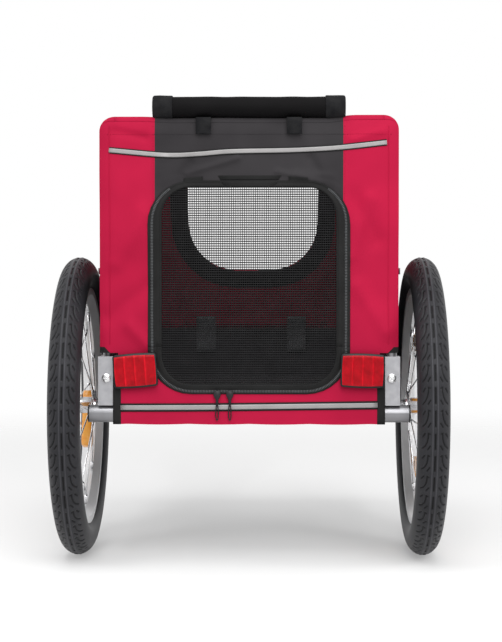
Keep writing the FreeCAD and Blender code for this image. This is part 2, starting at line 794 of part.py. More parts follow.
def spoke_reflectors(name, side):
    """Two side reflectors held between the spokes, on either side of the hub, clear of the valve."""
    height = d.spoke_reflector_height
    radius = rim_inner - d.valve_length - d.spoke_reflector_gap - height / 2
    rear = -d.spoke_reflector_length / 2
    size = (d.spoke_reflector_thickness, d.spoke_reflector_length, height)
    blocks = [box(f"spoke_reflector_{name}_{end}", *size, 0, rear, sign * radius - height / 2)
              for end, sign in (("low", -1), ("high", 1))]
    pair = DOC.addObject("Part::Compound", f"spoke_reflectors_{name}")
    pair.Links = blocks
    pair.Placement.Rotation = FreeCAD.Rotation(FreeCAD.Vector(1, 0, 0), REFLECTOR_TURNS[name])
    piece(put(pair, side * d.wheel_track / 2, axle_y, axle_z))


def stub_axle(name, side):
    """A pull-out axle with a head outside the hub and a release button in the head."""
    radius = d.axle_diameter / 2
    tip = sleeve_end - d.axle_grip
    shoulder = d.wheel_track / 2 + d.hub_length / 2 + d.seat_gap
    face = shoulder + d.axle_head_length
    well = face - d.button_depth
    well_radius = d.button_diameter / 2 + d.running_clearance
    head = d.axle_head_diameter / 2
    chamfer = d.axle_tip_chamfer
    corners = [(tip, 0), (tip, radius - chamfer), (tip + chamfer, radius), (shoulder, radius),
               (shoulder, head), (face, head), (face, well_radius), (well, well_radius), (well, 0)]
    body = new_body(f"stub_axle_{name}", 0, axle_y, axle_z)
    outline = new_sketch(body, "XY_Plane")
    run(outline, [(side * x, r) for x, r in corners])
    revolve(body, outline)
    button_radius = d.button_diameter / 2
    start = well + d.button_travel + d.seat_gap
    end = face + d.button_proud
    button = new_body(f"axle_button_{name}", 0, axle_y, axle_z)
    outline = new_sketch(button, "XY_Plane")
    run(outline, [(side * start, 0), (side * start, button_radius),
                  (side * end, button_radius), (side * end, 0)])
    revolve(button, outline)


def drawbar():
    """The tow bar in its socket under the front tube, ending in an upright eye."""
    x = -d.drawbar_side
    start = axle_y + d.drawbar_start_ahead
    radius = d.drawbar_diameter / 2
    half = radius + d.running_clearance + d.socket_wall
    socket_rear = start - d.socket_behind
    pin_y = start + d.lock_pin_back
    pin_hole = d.lock_pin_diameter / 2 + d.running_clearance
    socket = new_body("drawbar_socket", x, socket_rear)
    section = new_sketch(socket, "XZ_Plane")
    low = drawbar_z - half
    top = axle_z - tube_r / 2
    run(section, [(-half, low, radius), (half, low, radius), (half, top), (-half, top)])
    circle(section, radius + d.running_clearance, 0, drawbar_z)
    pad(socket, section, d.socket_length, backwards=True)
    holes = new_sketch(socket, "YZ_Plane")
    circle(holes, tube_r + d.running_clearance, front_y - socket_rear, axle_z)
    circle(holes, pin_hole, pin_y - socket_rear, drawbar_z)
    pocket_through(socket, holes)

    bar = new_body("drawbar", x, start, drawbar_z)
    ring = new_sketch(bar, "XZ_Plane")
    circle(ring, radius)
    circle(ring, radius - d.drawbar_wall)
    spine = new_sketch(bar, "YZ_Plane")
    eye = swivel_y - start
    socket_front = d.socket_length - d.socket_behind
    beyond = eye - socket_front
    first = socket_front + beyond * RISE_STARTS
    second = socket_front + beyond * RISE_STOPS
    run(spine, [(0, 0), (first, 0, d.drawbar_bend_radius), (second, d.drawbar_rise, d.drawbar_bend_radius),
                (eye - radius + d.drawbar_wall, d.drawbar_rise)], closed=False)
    pipe(bar, ring, spine)
    knuckle = new_sketch(bar, "XY_Plane", d.drawbar_rise - d.eye_height / 2)
    circle(knuckle, d.eye_diameter / 2, 0, eye)
    pad(bar, knuckle, d.eye_height)
    bore = new_sketch(bar, "XY_Plane")
    circle(bore, d.swivel_pin_diameter / 2 + d.running_clearance, 0, eye)
    pocket_through(bar, bore)
    hole = new_sketch(bar, "YZ_Plane")
    circle(hole, pin_hole, d.lock_pin_back, 0)
    pocket_through(bar, hole)

    pin = new_body("drawbar_lock_pin", x, pin_y, drawbar_z)
    outline = new_sketch(pin, "XY_Plane")
    shank = d.lock_pin_diameter / 2
    head = d.lock_head_diameter / 2
    seat = -half - d.seat_gap
    end = seat - d.lock_head_length
    tip = half + d.lock_tip
    run(outline, [(end, 0), (end, head), (seat, head), (seat, shank), (tip, shank), (tip, 0)])
    revolve(pin, outline)


def hitch():
    """A fork that swivels on the drawbar's eye, and a plate for the bicycle's axle that tilts in it."""
    x = -d.drawbar_side
    inner = d.eye_height / 2 + d.seat_gap
    outer = inner + d.plate_thickness
    back = -d.eye_diameter / 2
    throat = d.eye_diameter / 2 + d.fork_throat
    slot_start = d.fork_reach - d.hitch_plate_width / 2 - d.seat_gap
    front = slot_start - d.seat_gap
    lug = d.fork_lug
    end = d.fork_reach + lug
    fork = new_body("hitch_fork", x, swivel_y, hitch_z)
    section = new_sketch(fork, "YZ_Plane")
    run(section, [(back, -outer), (front, -outer), (front, -lug), (end, -lug, d.fork_lug_corner),
                  (end, lug, d.fork_lug_corner), (front, lug), (front, outer), (back, outer),
                  (back, inner), (throat, inner), (throat, -inner), (back, -inner)])
    pad(fork, section, d.fork_width, symmetric=True)
    slot = new_sketch(fork, "XY_Plane")
    half_slot = d.hitch_plate_thickness / 2 + d.seat_gap
    past = end + lug
    run(slot, [(-half_slot, slot_start), (half_slot, slot_start), (half_slot, past), (-half_slot, past)])
    pocket_through(fork, slot)
    swivel_pin = new_sketch(fork, "XY_Plane", -outer)
    circle(swivel_pin, d.swivel_pin_diameter / 2)
    pad(fork, swivel_pin, 2 * outer)
    tilt_pin = new_sketch(fork, "YZ_Plane")
    circle(tilt_pin, d.tilt_pin_diameter / 2, d.fork_reach, 0)
    pad(fork, tilt_pin, d.fork_width, symmetric=True)

    plate = new_body("hitch_plate", x, tilt_y, hitch_z)
    outline = new_sketch(plate, "YZ_Plane")
    half = d.hitch_plate_width / 2
    low = -d.hitch_drop - half
    round_off = d.hitch_corner_radius
    run(outline, [(-half, low, round_off), (half, low, round_off),
                  (half, half, round_off), (-half, half, round_off)])
    circle(outline, d.tilt_pin_diameter / 2 + d.running_clearance)
    circle(outline, d.hitch_bore / 2, 0, -d.hitch_drop)
    pad(plate, outline, d.hitch_plate_thickness, symmetric=True)


def check_and_export():
    """Stop if anything failed, then write one file for each piece."""
    DOC.recompute()
    for item in DOC.Objects:
        if "Invalid" in item.State or "Error" in item.State:
            raise RuntimeError(f"{item.Label} failed: {item.State}")
    for item in PIECES:
        if item.Shape.isNull() or not item.Shape.isValid() or not item.Shape.Solids:
            raise RuntimeError(f"{item.Label} has no valid solid")
    os.makedirs("parts", exist_ok=True)
    for item in PIECES:
        item.Shape.exportStep(f"parts/{item.Label}.step")
    print(len(PIECES), "pieces written")


cross_tube("rear_tube", d.rear_tube_length, rear_y)
cross_tube("front_tube", d.front_tube_length, front_y)
floor_board()
for word, sign in SIDES.items():
    inset = d.hoop_inset if word == "left" else 0
    rear_leg = rear_y + inset
    front_leg = front_y - inset
    tube_plug(word, sign)
    side_rail(word, sign)
    axle_sleeve(word, sign)
    hinge_bracket("rear", word, sign, rear_y - cheek_offset, rear_leg + cheek_offset, rear_leg)
    hinge_bracket("front", word, sign, front_y + cheek_offset, front_leg - cheek_offset, front_leg)
    hoop(word, sign)
    side_panel(word, sign)
    side_skirt(word, sign)
    reflector(word, sign)
    zip_slider(word, sign)
    wheel(word, sign)
    stub_axle(word, sign)
rear_panel()
rear_door()
front_panel()
roof()
drawbar()
hitch()
check_and_export()
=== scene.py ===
# %% [markdown]
# # A dog trailer for a bicycle
# The photograph shows the trailer from behind, on a pale studio floor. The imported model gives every
# solid its place, so this lesson only dresses it: cloth, net, zip, tread and finish.

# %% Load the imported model
import json
import math
import bmesh
import bpy
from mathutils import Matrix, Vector


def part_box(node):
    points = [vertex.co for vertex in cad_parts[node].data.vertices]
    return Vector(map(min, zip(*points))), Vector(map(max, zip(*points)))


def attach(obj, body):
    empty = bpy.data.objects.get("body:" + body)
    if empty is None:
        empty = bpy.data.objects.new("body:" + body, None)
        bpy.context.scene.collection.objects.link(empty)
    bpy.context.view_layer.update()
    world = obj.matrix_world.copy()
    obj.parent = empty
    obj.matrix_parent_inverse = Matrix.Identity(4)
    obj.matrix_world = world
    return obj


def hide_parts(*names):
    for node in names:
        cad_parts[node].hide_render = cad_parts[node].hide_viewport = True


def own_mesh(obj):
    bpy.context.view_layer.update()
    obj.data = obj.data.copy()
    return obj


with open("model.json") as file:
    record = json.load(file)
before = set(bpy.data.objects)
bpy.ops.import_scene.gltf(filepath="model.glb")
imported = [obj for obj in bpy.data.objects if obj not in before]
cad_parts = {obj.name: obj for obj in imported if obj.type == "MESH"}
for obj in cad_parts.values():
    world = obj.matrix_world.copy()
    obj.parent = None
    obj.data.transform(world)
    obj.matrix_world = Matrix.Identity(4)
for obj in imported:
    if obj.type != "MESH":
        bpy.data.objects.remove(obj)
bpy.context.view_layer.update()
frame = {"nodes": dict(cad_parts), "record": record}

MM = 0.001
print("solids loaded:", len(frame["nodes"]))

# %% [markdown]
# ## Places on the real object
# Cloth, tape and tread are made to fit the solids, so their places are read from the solids' boxes.
# Only what a box can't tell, such as a sewing allowance, is written down as a size.

# %% Places that several pieces share
FOLD_ABOVE_BRACKET = 12 * MM
rear_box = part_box("rear_panel")
door_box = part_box("door_border")
net_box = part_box("door_net")
roof_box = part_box("roof_panel")
front_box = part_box("front_panel")
wheel_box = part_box("tyre_right")
REAR_Y = rear_box[0].y
HEM_Z = rear_box[0].z
SIDE_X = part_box("side_panel_right")[1].x
ROOF_Z = roof_box[1].z
WHEEL_R = (wheel_box[1].z - wheel_box[0].z) / 2
AXLE_Y = (wheel_box[0].y + wheel_box[1].y) / 2
WHEEL_X = (wheel_box[0].x + wheel_box[1].x) / 2
FOLD_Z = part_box("hinge_bracket_rear_left")[1].z + FOLD_ABOVE_BRACKET
SIDES = {"left": -1, "right": 1}
REARWARD = (0, -1, 0)
FORWARD = (0, 1, 0)
REARWARD_AND_UP = (0, -1, 0.3)
UP_AND_REARWARD = (0, -0.3, 1)
print("rear wall at", round(REAR_Y, 4), "axle at", round(AXLE_Y, 4), "fold line at", round(FOLD_Z, 4))

# %% [markdown]
# ## Camera
# The picture was taken from a little over two metres behind, at the height of the cabin's middle, with
# a longer lens: the wheels show almost no widening, and the far rims sit just inside the near ones.

# %% Camera
EYE_BEHIND_AXLE = 2120 * MM
EYE_HEIGHT = 379 * MM
EYE_RIGHT = 30 * MM
LENS = 88.4
TILT_DOWN = math.radians(1.78)
TURN_LEFT = math.radians(0.79)
camera = bpy.data.cameras.new("camera")
camera.lens = LENS
camera_object = bpy.data.objects.new("camera", camera)
camera_object.location = (EYE_RIGHT, AXLE_Y - EYE_BEHIND_AXLE, EYE_HEIGHT)
camera_object.rotation_euler = (math.pi / 2 - TILT_DOWN, 0, TURN_LEFT)
bpy.context.scene.collection.objects.link(camera_object)
bpy.context.scene.camera = camera_object
bpy.context.scene.view_settings.view_transform = "Standard"
print("camera at", tuple(round(value, 3) for value in camera_object.location))

# %% [markdown]
# ## Materials
# Every finish is a plain shader with a pattern measured in millimetres and read from the piece's own
# coordinates, so that it sits still when the piece moves. One helper adds a node; the rest is numbers.
# Threads and paint grain are finer than the render can show, so each grain is drawn a little coarser.

# %% Node and colour helpers
TONE_RANGE = (0.3, 0.7)
PATCH_DETAIL = 2.0
GRAIN_DETAIL = 3.0


def add(tree, kind, settings=(), inputs=()):
    """Adds a node, sets its properties, and gives its inputs a value or another node's output."""
    node = tree.nodes.new(kind)
    for name, value in dict(settings).items():
        setattr(node, name, value)
    for name, value in dict(inputs).items():
        if isinstance(value, bpy.types.NodeSocket):
            tree.links.new(value, node.inputs[name])
        else:
            node.inputs[name].default_value = value
    return node


def blank(holder):
    """The empty node tree of a new material or world."""
    holder.use_nodes = True
    holder.node_tree.nodes.clear()
    return holder.node_tree


def colour(code):
    """A colour such as #C8234B, turned from screen values into light."""
    parts = [int(code[i:i + 2], 16) / 255 for i in (1, 3, 5)]
    light = [part / 12.92 if part <= 0.04045 else ((part + 0.055) / 1.055) ** 2.4 for part in parts]
    return (*light, 1.0)


def surface(name, light, dark, patch, grain, depth, wear="", **values):
    """Colour that drifts from dark to light in patches, over a grain of the given depth, all in mm.
    The named mesh attribute scales the colour point by point: painted shade below one, painted highlight
    above one."""
    material = bpy.data.materials.new(name)
    tree = blank(material)
    place = add(tree, "ShaderNodeTexCoord").outputs["Object"]
    drift = add(tree, "ShaderNodeTexNoise",
                inputs={"Vector": place, "Scale": 1 / (patch * MM), "Detail": PATCH_DETAIL})
    tone = add(tree, "ShaderNodeValToRGB", inputs={"Fac": drift.outputs["Fac"]})
    for stop, share, code in zip(tone.color_ramp.elements, TONE_RANGE, (dark, light)):
        stop.position = share
        stop.color = colour(code)
    fine = add(tree, "ShaderNodeTexNoise",
               inputs={"Vector": place, "Scale": 1 / (grain * MM), "Detail": GRAIN_DETAIL})
    bump = add(tree, "ShaderNodeBump", inputs={"Height": fine.outputs["Fac"], "Distance": depth * MM})
    shade = tone.outputs["Color"]
    # Painted light and shade: the attribute darkens the colour below one and brightens it above one.
    if wear:
        painted_light_input = add(tree, "ShaderNodeAttribute", {"attribute_name": wear})
        scaled = add(tree, "ShaderNodeVectorMath", {"operation": "SCALE"},
                     {"Vector": shade, "Scale": painted_light_input.outputs["Fac"]})
        shade = scaled.outputs["Vector"]
    inputs = {"Base Color": shade, "Normal": bump.outputs["Normal"]}
    inputs.update({key.replace("_", " "): value for key, value in values.items()})
    shader = add(tree, "ShaderNodeBsdfPrincipled", inputs=inputs)
    add(tree, "ShaderNodeOutputMaterial", inputs={"Surface": shader.outputs["BSDF"]})
    return material


print("a white part in light:", colour("#FFFFFF")[0])

# %% Cloth, tape and net
# Coated polyester: a flat, slightly bright red with the faint cloudiness of stretched cloth.
RED = surface("red_coated_polyester", "#B2153C", "#A61137", 70, 1.1, 0.05, Roughness=0.75,
              Specular_IOR_Level=0.12)
# The same cloth in black, which reads as a warm dark grey.
BLACK = surface("black_coated_polyester", "#373537", "#2F2D2F", 60, 1.1, 0.05, Roughness=0.8,
                Specular_IOR_Level=0.1)
# Woven binding and zip tape: blacker than the cloth and without its shine.
TAPE = surface("black_woven_tape", "#202020", "#191919", 30, 0.7, 0.08, Roughness=0.85,
               Specular_IOR_Level=0.2)
# The cover's soft cloth, blacker and smoother than the walls.
SOFT = surface("black_softshell", "#0D0C0D", "#090809", 60, 1.6, 0.04, Roughness=0.7,
               Specular_IOR_Level=0.08)
# Hook-and-loop: a black cloth with a deep fuzzy grain.
LOOP = surface("hook_and_loop", "#232324", "#18181A", 12, 1.4, 0.5, Roughness=0.95,
               Specular_IOR_Level=0.1)
# Reflective tape: an even light grey with a soft gleam.
STRIPE = surface("reflective_tape", "#969494", "#8D8B8B", 25, 0.6, 0.02, Roughness=0.5, Metallic=0.2)
# Coated polyester net: thin, dark and a little shiny.
NET = surface("net_cord", "#1E1E1F", "#161617", 20, 1.0, 0.02, Roughness=0.6, Specular_IOR_Level=0.15)
# Grey webbing, seen only through the net.
WEBBING = surface("grey_webbing", "#67696B", "#5A5C5E", 20, 0.9, 0.1, Roughness=0.9)
# Zip coil: black nylon that gleams to a dark grey.
COIL = surface("nylon_zip_coil", "#4A4C4E", "#3E4042", 10, 0.8, 0.02, Roughness=0.4)
print("cloth finishes ready")

# %% Metal, rubber and plastic
# Silver painted tube: bright, with a broad soft highlight.
TUBE = surface("silver_painted_tube", "#8C8C8F", "#818184", 40, 0.5, 0.01, Roughness=0.3, Metallic=0.7)
# Zinc plated sheet: a duller grey with a fine crystalline grain.
ZINC = surface("zinc_plated_sheet", "#ACACAF", "#9E9EA2", 9, 0.6, 0.02, Roughness=0.45, Metallic=0.5)
# Plated bolts: nearly white, with a sharper gleam than the sheet.
BOLT = surface("plated_bolt", "#DCDCDC", "#CFCFD0", 10, 0.4, 0.01, Roughness=0.25, Metallic=0.9)
# Chrome hubs and spokes: a mirror that shows the pale room.
CHROME = surface("chrome", "#E6E6E8", "#DADADC", 30, 2.0, 0.005, Roughness=0.12, Metallic=1.0)
# Brushed aluminium rims: pale, with a satin bloom.
ALUMINIUM = surface("satin_aluminium", "#E6E6E7", "#DCDCDE", 50, 0.5, 0.01, Roughness=0.35, Metallic=0.35)
# Tyre rubber: near black with a grey satin sheen on the crown; painted shade darkens its grooves and painted
# highlights brighten its raised lines.
RUBBER = surface("tyre_rubber", "#2E2E31", "#262629", 25, 0.8, 0.03, "wear", Roughness=0.45,
                 Specular_IOR_Level=0.15)
# Moulded black plastic: smooth, even and slightly glossy.
PLASTIC = surface("moulded_black_plastic", "#1C1C1E", "#161618", 30, 0.6, 0.01, Roughness=0.45,
                  Specular_IOR_Level=0.3)
# Floor board under the cabin: a dull black panel.
BOARD = surface("floor_panel", "#2C2C2E", "#242426", 40, 1.5, 0.05, Roughness=0.8)
# Red acrylic of the tail reflectors: saturated, with painted highlights along its ribs set by the mesh
# attribute.
LENS_RED = surface("red_reflector_prism", "#B20D1C", "#960A16", 8, 0.8, 0.02, "wear", Roughness=0.25,
                   Specular_IOR_Level=0.12)
# Amber acrylic of the spoke reflectors: warm and glassy.
LENS_AMBER = surface("amber_reflector_prism", "#FFB54A", "#FFA436", 8, 0.8, 0.02, Roughness=0.25,
                     Coat_Weight=0.6)
print("hard finishes ready")

# %% [markdown]
# ## Studio
# A pale floor that fades into a white background, a large soft lamp overhead, weaker ones from both
# sides and from behind the camera, and light from all round. The floor keeps the soft shadow.

# %% Floor
FLOOR_REACH = 3.0
FLOOR_COVER = 0.7
FADE_STARTS = 0.3 * FLOOR_REACH
FADE_STOPS = 0.8 * FLOOR_REACH


def floor_finish():
    """Pale paper that lets some of the white behind it through, and fades out round the trailer."""
    material = bpy.data.materials.new("studio_floor")
    tree = blank(material)
    place = add(tree, "ShaderNodeTexCoord").outputs["Object"]
    away = add(tree, "ShaderNodeVectorMath", {"operation": "DISTANCE"}, {0: place, 1: (0, AXLE_Y, 0)})
    cover = add(tree, "ShaderNodeMapRange", {"interpolation_type": "SMOOTHSTEP"},
                {"Value": away.outputs["Value"], "From Min": FADE_STARTS, "From Max": FADE_STOPS,
                 "To Min": FLOOR_COVER, "To Max": 0.0})
    paper = add(tree, "ShaderNodeBsdfDiffuse", inputs={"Color": colour("#FAFAFA")})
    clear = add(tree, "ShaderNodeBsdfTransparent")
    mix = add(tree, "ShaderNodeMixShader",
              inputs={"Fac": cover.outputs[0], 1: clear.outputs[0], 2: paper.outputs[0]})
    add(tree, "ShaderNodeOutputMaterial", inputs={"Surface": mix.outputs[0]})
    return material


def floor_piece():
    mesh = bpy.data.meshes.new("floor")
    corners = ((-1, -1), (1, -1), (1, 1), (-1, 1))
    mesh.from_pydata([(u * FLOOR_REACH, v * FLOOR_REACH, 0) for u, v in corners], [], [(0, 1, 2, 3)])
    mesh.materials.append(floor_finish())
    floor = bpy.data.objects.new("floor", mesh)
    bpy.context.scene.collection.objects.link(floor)


floor_piece()
print("floor of", 2 * FLOOR_REACH, "m")

# %% Lamps and background
# Each lamp's place, the height that it aims at and its width, all in metres, and its power in watts.
LAMPS = {"overhead": ((-0.3, -1.7, 2.8), 0.2, 2.0, 44),
         "left": ((-2.4, -0.6, 1.6), 0.1, 1.4, 12),
         "right": ((2.4, -1.0, 1.6), 0.1, 1.4, 16),
         "behind_camera": ((0.4, -2.4, 1.45), 0.1, 1.4, 25)}
WORLD_LIGHT = 0.5


def lamp(name, place, aim_height, width, power):
    """A square lamp that points at the trailer."""
    light = bpy.data.lights.new(name, "AREA")
    light.size = width
    light.energy = power
    holder = bpy.data.objects.new(name, light)
    holder.location = place
    aim = Vector((0, AXLE_Y, aim_height)) - Vector(place)
    holder.rotation_euler = aim.to_track_quat("-Z", "Y").to_euler()
    bpy.context.scene.collection.objects.link(holder)


def background(strength):
    """White to the camera, in mirrors and through glass; the same white at this strength as light."""
    world = bpy.data.worlds.new("studio")
    bpy.context.scene.world = world
    tree = blank(world)
    rays = add(tree, "ShaderNodeLightPath").outputs
    seen = add(tree, "ShaderNodeBackground", inputs={"Color": colour("#FFFFFF"), "Strength": 1.0})
    light = add(tree, "ShaderNodeBackground", inputs={"Color": colour("#FFFFFF"), "Strength": strength})
    bent = add(tree, "ShaderNodeMath", {"operation": "MAXIMUM"},
               {0: rays["Is Glossy Ray"], 1: rays["Is Transmission Ray"]})
    white = add(tree, "ShaderNodeMath", {"operation": "MAXIMUM"},
                {0: rays["Is Camera Ray"], 1: bent.outputs[0]})
    mix = add(tree, "ShaderNodeMixShader",
              inputs={"Fac": white.outputs[0], 1: light.outputs[0], 2: seen.outputs[0]})
    add(tree, "ShaderNodeOutputWorld", inputs={"Surface": mix.outputs[0]})


for title, values in LAMPS.items():
    lamp(title, *values)
background(WORLD_LIGHT)
print("lamps:", len(LAMPS))

# %% [markdown]
# ## Finish for the solids that stay
# Tubes, brackets, bolts, rims and hubs are shown as they were modelled. Each takes the finish of its
# material slot, so that a repaint of a slot reaches every solid on it.

# %% Give every solid its finish
FINISHES = {"steel_tube": TUBE, "zinc_plate": ZINC, "bolt_steel": BOLT, "chrome": CHROME,
            "rim_metal": ALUMINIUM, "tyre_rubber": RUBBER, "black_plastic": PLASTIC,
            "floor_panel": BOARD, "red_fabric": RED, "black_fabric": BLACK, "net": NET,
            "red_lens": LENS_RED, "amber_lens": LENS_AMBER}
for subpart in frame["record"]["subparts"]:
    solid = frame["nodes"][subpart["node"]]
    solid.data.materials.clear()
    solid.data.materials.append(FINISHES[subpart["material_slot"]])

# %% [markdown]
# ## Sheets of cloth
# The cabin is sewn from flat cuts. Each is a grid of points laid on its wall, so its edges follow the
# pattern exactly; the colours change along real seams, which are cut into the grid. A solver could
# drape it, but cloth stretched on a frame hardly moves, so a slow ripple does the same at no cost.

# %% Points into pieces
def show(name, points, faces, *finishes):
    """A new piece made of these points and faces."""
    mesh = bpy.data.meshes.new(name)
    mesh.from_pydata(points, [], faces)
    for finish in finishes:
        mesh.materials.append(finish)
    mesh.shade_smooth()
    piece = bpy.data.objects.new(name, mesh)
    bpy.context.scene.collection.objects.link(piece)
    return piece


def woven(rows, closed=False):
    """Points and faces of a surface through rows of points; closed joins the ends of every row."""
    width = len(rows[0])
    points = [point for row in rows for point in row]
    faces = []
    for i in range(len(rows) - 1):
        for j in range(width if closed else width - 1):
            k = (j + 1) % width
            faces.append((i * width + j, i * width + k, (i + 1) * width + k, (i + 1) * width + j))
    return points, faces


def thicken(piece, thickness, offset=-1.0):
    """Gives a sheet its thickness, inwards unless told otherwise."""
    solid = piece.modifiers.new("thickness", "SOLIDIFY")
    solid.thickness = thickness
    solid.offset = offset
    return piece


print("a square of four points has", len(woven([[0, 1], [2, 3]])[1]), "face")

# %% Cut cloth along its seams
X, Y, Z = range(3)


def cut_at(axis, *places):
    """Planes square to an axis, at these places along it."""
    across = Vector((0, 0, 0))
    across[axis] = 1
    return [(across * place, across) for place in places]


def tailor(piece, facing, cuts=(), keep=None, paint=None, wall=None):
    """Cuts a sheet along straight seams, drops the waste, colours the rest and faces it outwards."""
    cloth = bmesh.new()
    cloth.from_mesh(piece.data)
    for place, across in cuts:
        everything = cloth.verts[:] + cloth.edges[:] + cloth.faces[:]
        bmesh.ops.bisect_plane(cloth, geom=everything, plane_co=place, plane_no=across)
    if keep:
        waste = [face for face in cloth.faces if not keep(*face.calc_center_median())]
        bmesh.ops.delete(cloth, geom=waste, context="FACES")
    if wall:
        for corner in cloth.verts:
            corner.co.y = wall(corner.co.x, corner.co.z)
    cloth.normal_update()
    for face in cloth.faces:
        face.smooth = True
        if paint:
            face.material_index = paint(*face.calc_center_median())
        if face.normal.dot(Vector(facing)) < 0:
            face.normal_flip()
    cloth.to_mesh(piece.data)
    cloth.free()
    return piece


print("cuts across each axis:", len(cut_at(X, 0)) + len(cut_at(Y, 0)) + len(cut_at(Z, 0)))

# %% Outlines, steps and ripples
# Waves of stretched cloth: their speed along u and v in radians per metre, their start and their share.
WAVES = [(38, 21, 0.4, 1 / 2), (61, -47, 1.9, 1 / 3), (12, 83, 3.1, 1 / 5)]


def spread(start, stop, steps):
    """Steps + 1 values from start to stop."""
    return [start + (stop - start) * i / steps for i in range(steps + 1)]


def rounded(half, low, high, radius, side=22, corner=8):
    """A rounded rectangle as points (x, z), equally many for every size, from its lower left corner."""
    middles = [(radius - half, low + radius, 180), (half - radius, low + radius, 270),
               (half - radius, high - radius, 0), (radius - half, high - radius, 90)]
    ends = []
    for x, z, start in middles:
        turns = [math.radians(start + 90 * i / corner) for i in range(corner + 1)]
        ends.append([(x + radius * math.cos(turn), z + radius * math.sin(turn)) for turn in turns])
    points = []
    for i, bend in enumerate(ends):
        (x0, z0), (x1, z1) = bend[-1], ends[(i + 1) % len(ends)][0]
        points += bend
        points += [(x0 + (x1 - x0) * j / side, z0 + (z1 - z0) * j / side) for j in range(1, side)]
    return points


def between(first, second, share):
    """The outline a share of the way from one outline to another with as many points."""
    return [(x0 + (x1 - x0) * share, z0 + (z1 - z0) * share)
            for (x0, z0), (x1, z1) in zip(first, second)]


def ripple(u, v):
    """Slow waves of stretched cloth, about one high, for places in metres."""
    return sum(share * math.sin(along * u + up * v + start) for along, up, start, share in WAVES)


def eased(share):
    """A share from 0 to 1 that starts and stops gently."""
    share = min(max(share, 0), 1)
    return share * share * (3 - 2 * share)


def off_line(point, line):
    """The distance from a point to a line of corners in mm."""
    nearest = 1.0
    for a, b in zip(line, line[1:]):
        a, b = Vector(a) * MM, Vector(b) * MM
        share = max(0, min(1, (point - a).dot(b - a) / (b - a).length_squared))
        nearest = min(nearest, (point - a.lerp(b, share)).length)
    return nearest


print("waves in the cloth:", len(WAVES))

# %% [markdown]
# ## Rear wall
# Two red side strips with a black middle above the door. Below the fold line the wall is sewn to the
# frame; above it the wall collapses when the trailer folds flat, so it is a piece of its own.

# %% How the rear cloth lies
CLOTH = 0.9 * MM
ON_CLOTH = 0.1 * MM
EDGE_CURL = 7 * MM
EDGE_SEAM = 175.5 * MM
CROWN = 19 * MM
# The cloth is pulled flat up to the tight height, and leans in above the tunnel for the hoop.
TUNNEL_Z = 552 * MM
TIGHT_Z = 215 * MM
LOOSENS_OVER = 60 * MM
HOLLOW = 2.5 * MM
RIPPLE = 1.7 * MM
WRAP_DEPTH = 4 * MM
LEAN_DEPTH = 5 * MM
CREASE_DEPTH = 2.3 * MM
# Creases of the hung cloth: from (x, z) to (x, z) and half width in mm, and share of the crease depth.
CREASES = [((-97, 484), (-74, 517), 6, -1.3), ((-112, 492), (-108, 522), 5, 0.9),
           ((99, 486), (78, 522), 6, -1.3), ((60, 503), (104, 500), 5, 1.0),
           ((-132, 452), (-168, 392), 13, 1.8), ((-128, 360), (-176, 322), 12, -1.5),
           ((133, 470), (160, 420), 12, -1.6), ((130, 545), (168, 556), 6, 1.2),
           ((136, 360), (172, 306), 11, 1.5), ((-170, 556), (-132, 548), 6, -1.0),
           ((-150, 310), (-128, 288), 9, 1.4), ((-78, 503), (-14, 522), 4, 1.2),
           ((36, 505), (108, 489), 4, 1.0), ((150, 470), (128, 400), 10, 1.3)]


def rear_wall(x, z):
    """Where the rear cloth lies: flat at the hem, rippled and creased higher up, drawn in at its sides."""
    free = min(max((z - TIGHT_Z) / LOOSENS_OVER, 0), 1)
    relief = HOLLOW + RIPPLE * ripple(x, z)
    for start, stop, width, share in CREASES:
        away = off_line(Vector((x, z)), (start, stop)) / (width * MM)
        relief -= CREASE_DEPTH * share * math.exp(-away ** 2)
    wrap = max(0, (abs(x) - EDGE_SEAM) / (SIDE_X - EDGE_SEAM))
    tipped = max(0, (z - TUNNEL_Z) / (ROOF_Z - TUNNEL_Z))
    return REAR_Y + ON_CLOTH + free * relief + WRAP_DEPTH * wrap ** 2 + LEAN_DEPTH * tipped ** 2


print("creases:", len(CREASES))

# %% The rear wall's edges
LIFTS = {-1: 3 * MM, 1: 5 * MM}
MIDDLE_LIFT = 1.2 * MM
ROLL_WEIGHS = 95 * MM
RISES_OVER = 40 * MM
HEM_WAVE = 76 * MM
HEM_DROP = 0.5 * MM
HEM_SAG = 0.9 * MM


def roof_rise(x):
    """How far the roof stands up: least in its middle, where the roll weighs on it."""
    lift = LIFTS[1 if x > 0 else -1]
    return MIDDLE_LIFT + (lift - MIDDLE_LIFT) * eased((abs(x) - ROLL_WEIGHS) / RISES_OVER)


def edge_point(x, z):
    """Takes a point of a plain outline to the cloth's real edge: under the roof, or on the wavy hem."""
    over = z - (ROOF_Z - CROWN)
    side = abs(x) - (SIDE_X - CROWN)
    if z < HEM_Z + ON_CLOTH:
        return x, z - HEM_DROP - HEM_SAG * abs(math.sin(math.pi * x / HEM_WAVE))
    if over <= 0:
        return x, z
    inset = EDGE_CURL * math.sin(math.atan2(over, max(side, 0))) ** 2
    kept = 1 - inset / CROWN
    if side > 0:
        x = math.copysign(SIDE_X - CROWN + side * kept, x)
    return x, ROOF_Z - CROWN + over * kept + roof_rise(x)


print("roof edge:", round(edge_point(0, ROOF_Z)[1], 4))

# %% Cut the rear wall
SEAM_X = 118.5 * MM
DOOR_HALF = door_box[1].x
DOOR_R = 55 * MM
DOOR_LAP = 3 * MM
WALL_STEPS = 110
NOTCH_RISE = 27 * MM
NOTCH_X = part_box("floor_board")[1].x
NOTCH_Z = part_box("side_panel_left")[0].z + NOTCH_RISE
CORNER = (167 * MM, 269 * MM)


def in_corner(x, z):
    """Whether a place lies in the black corner above a fold bracket."""
    return abs(x) > NOTCH_X and abs(x) - CORNER[0] > z - CORNER[1]


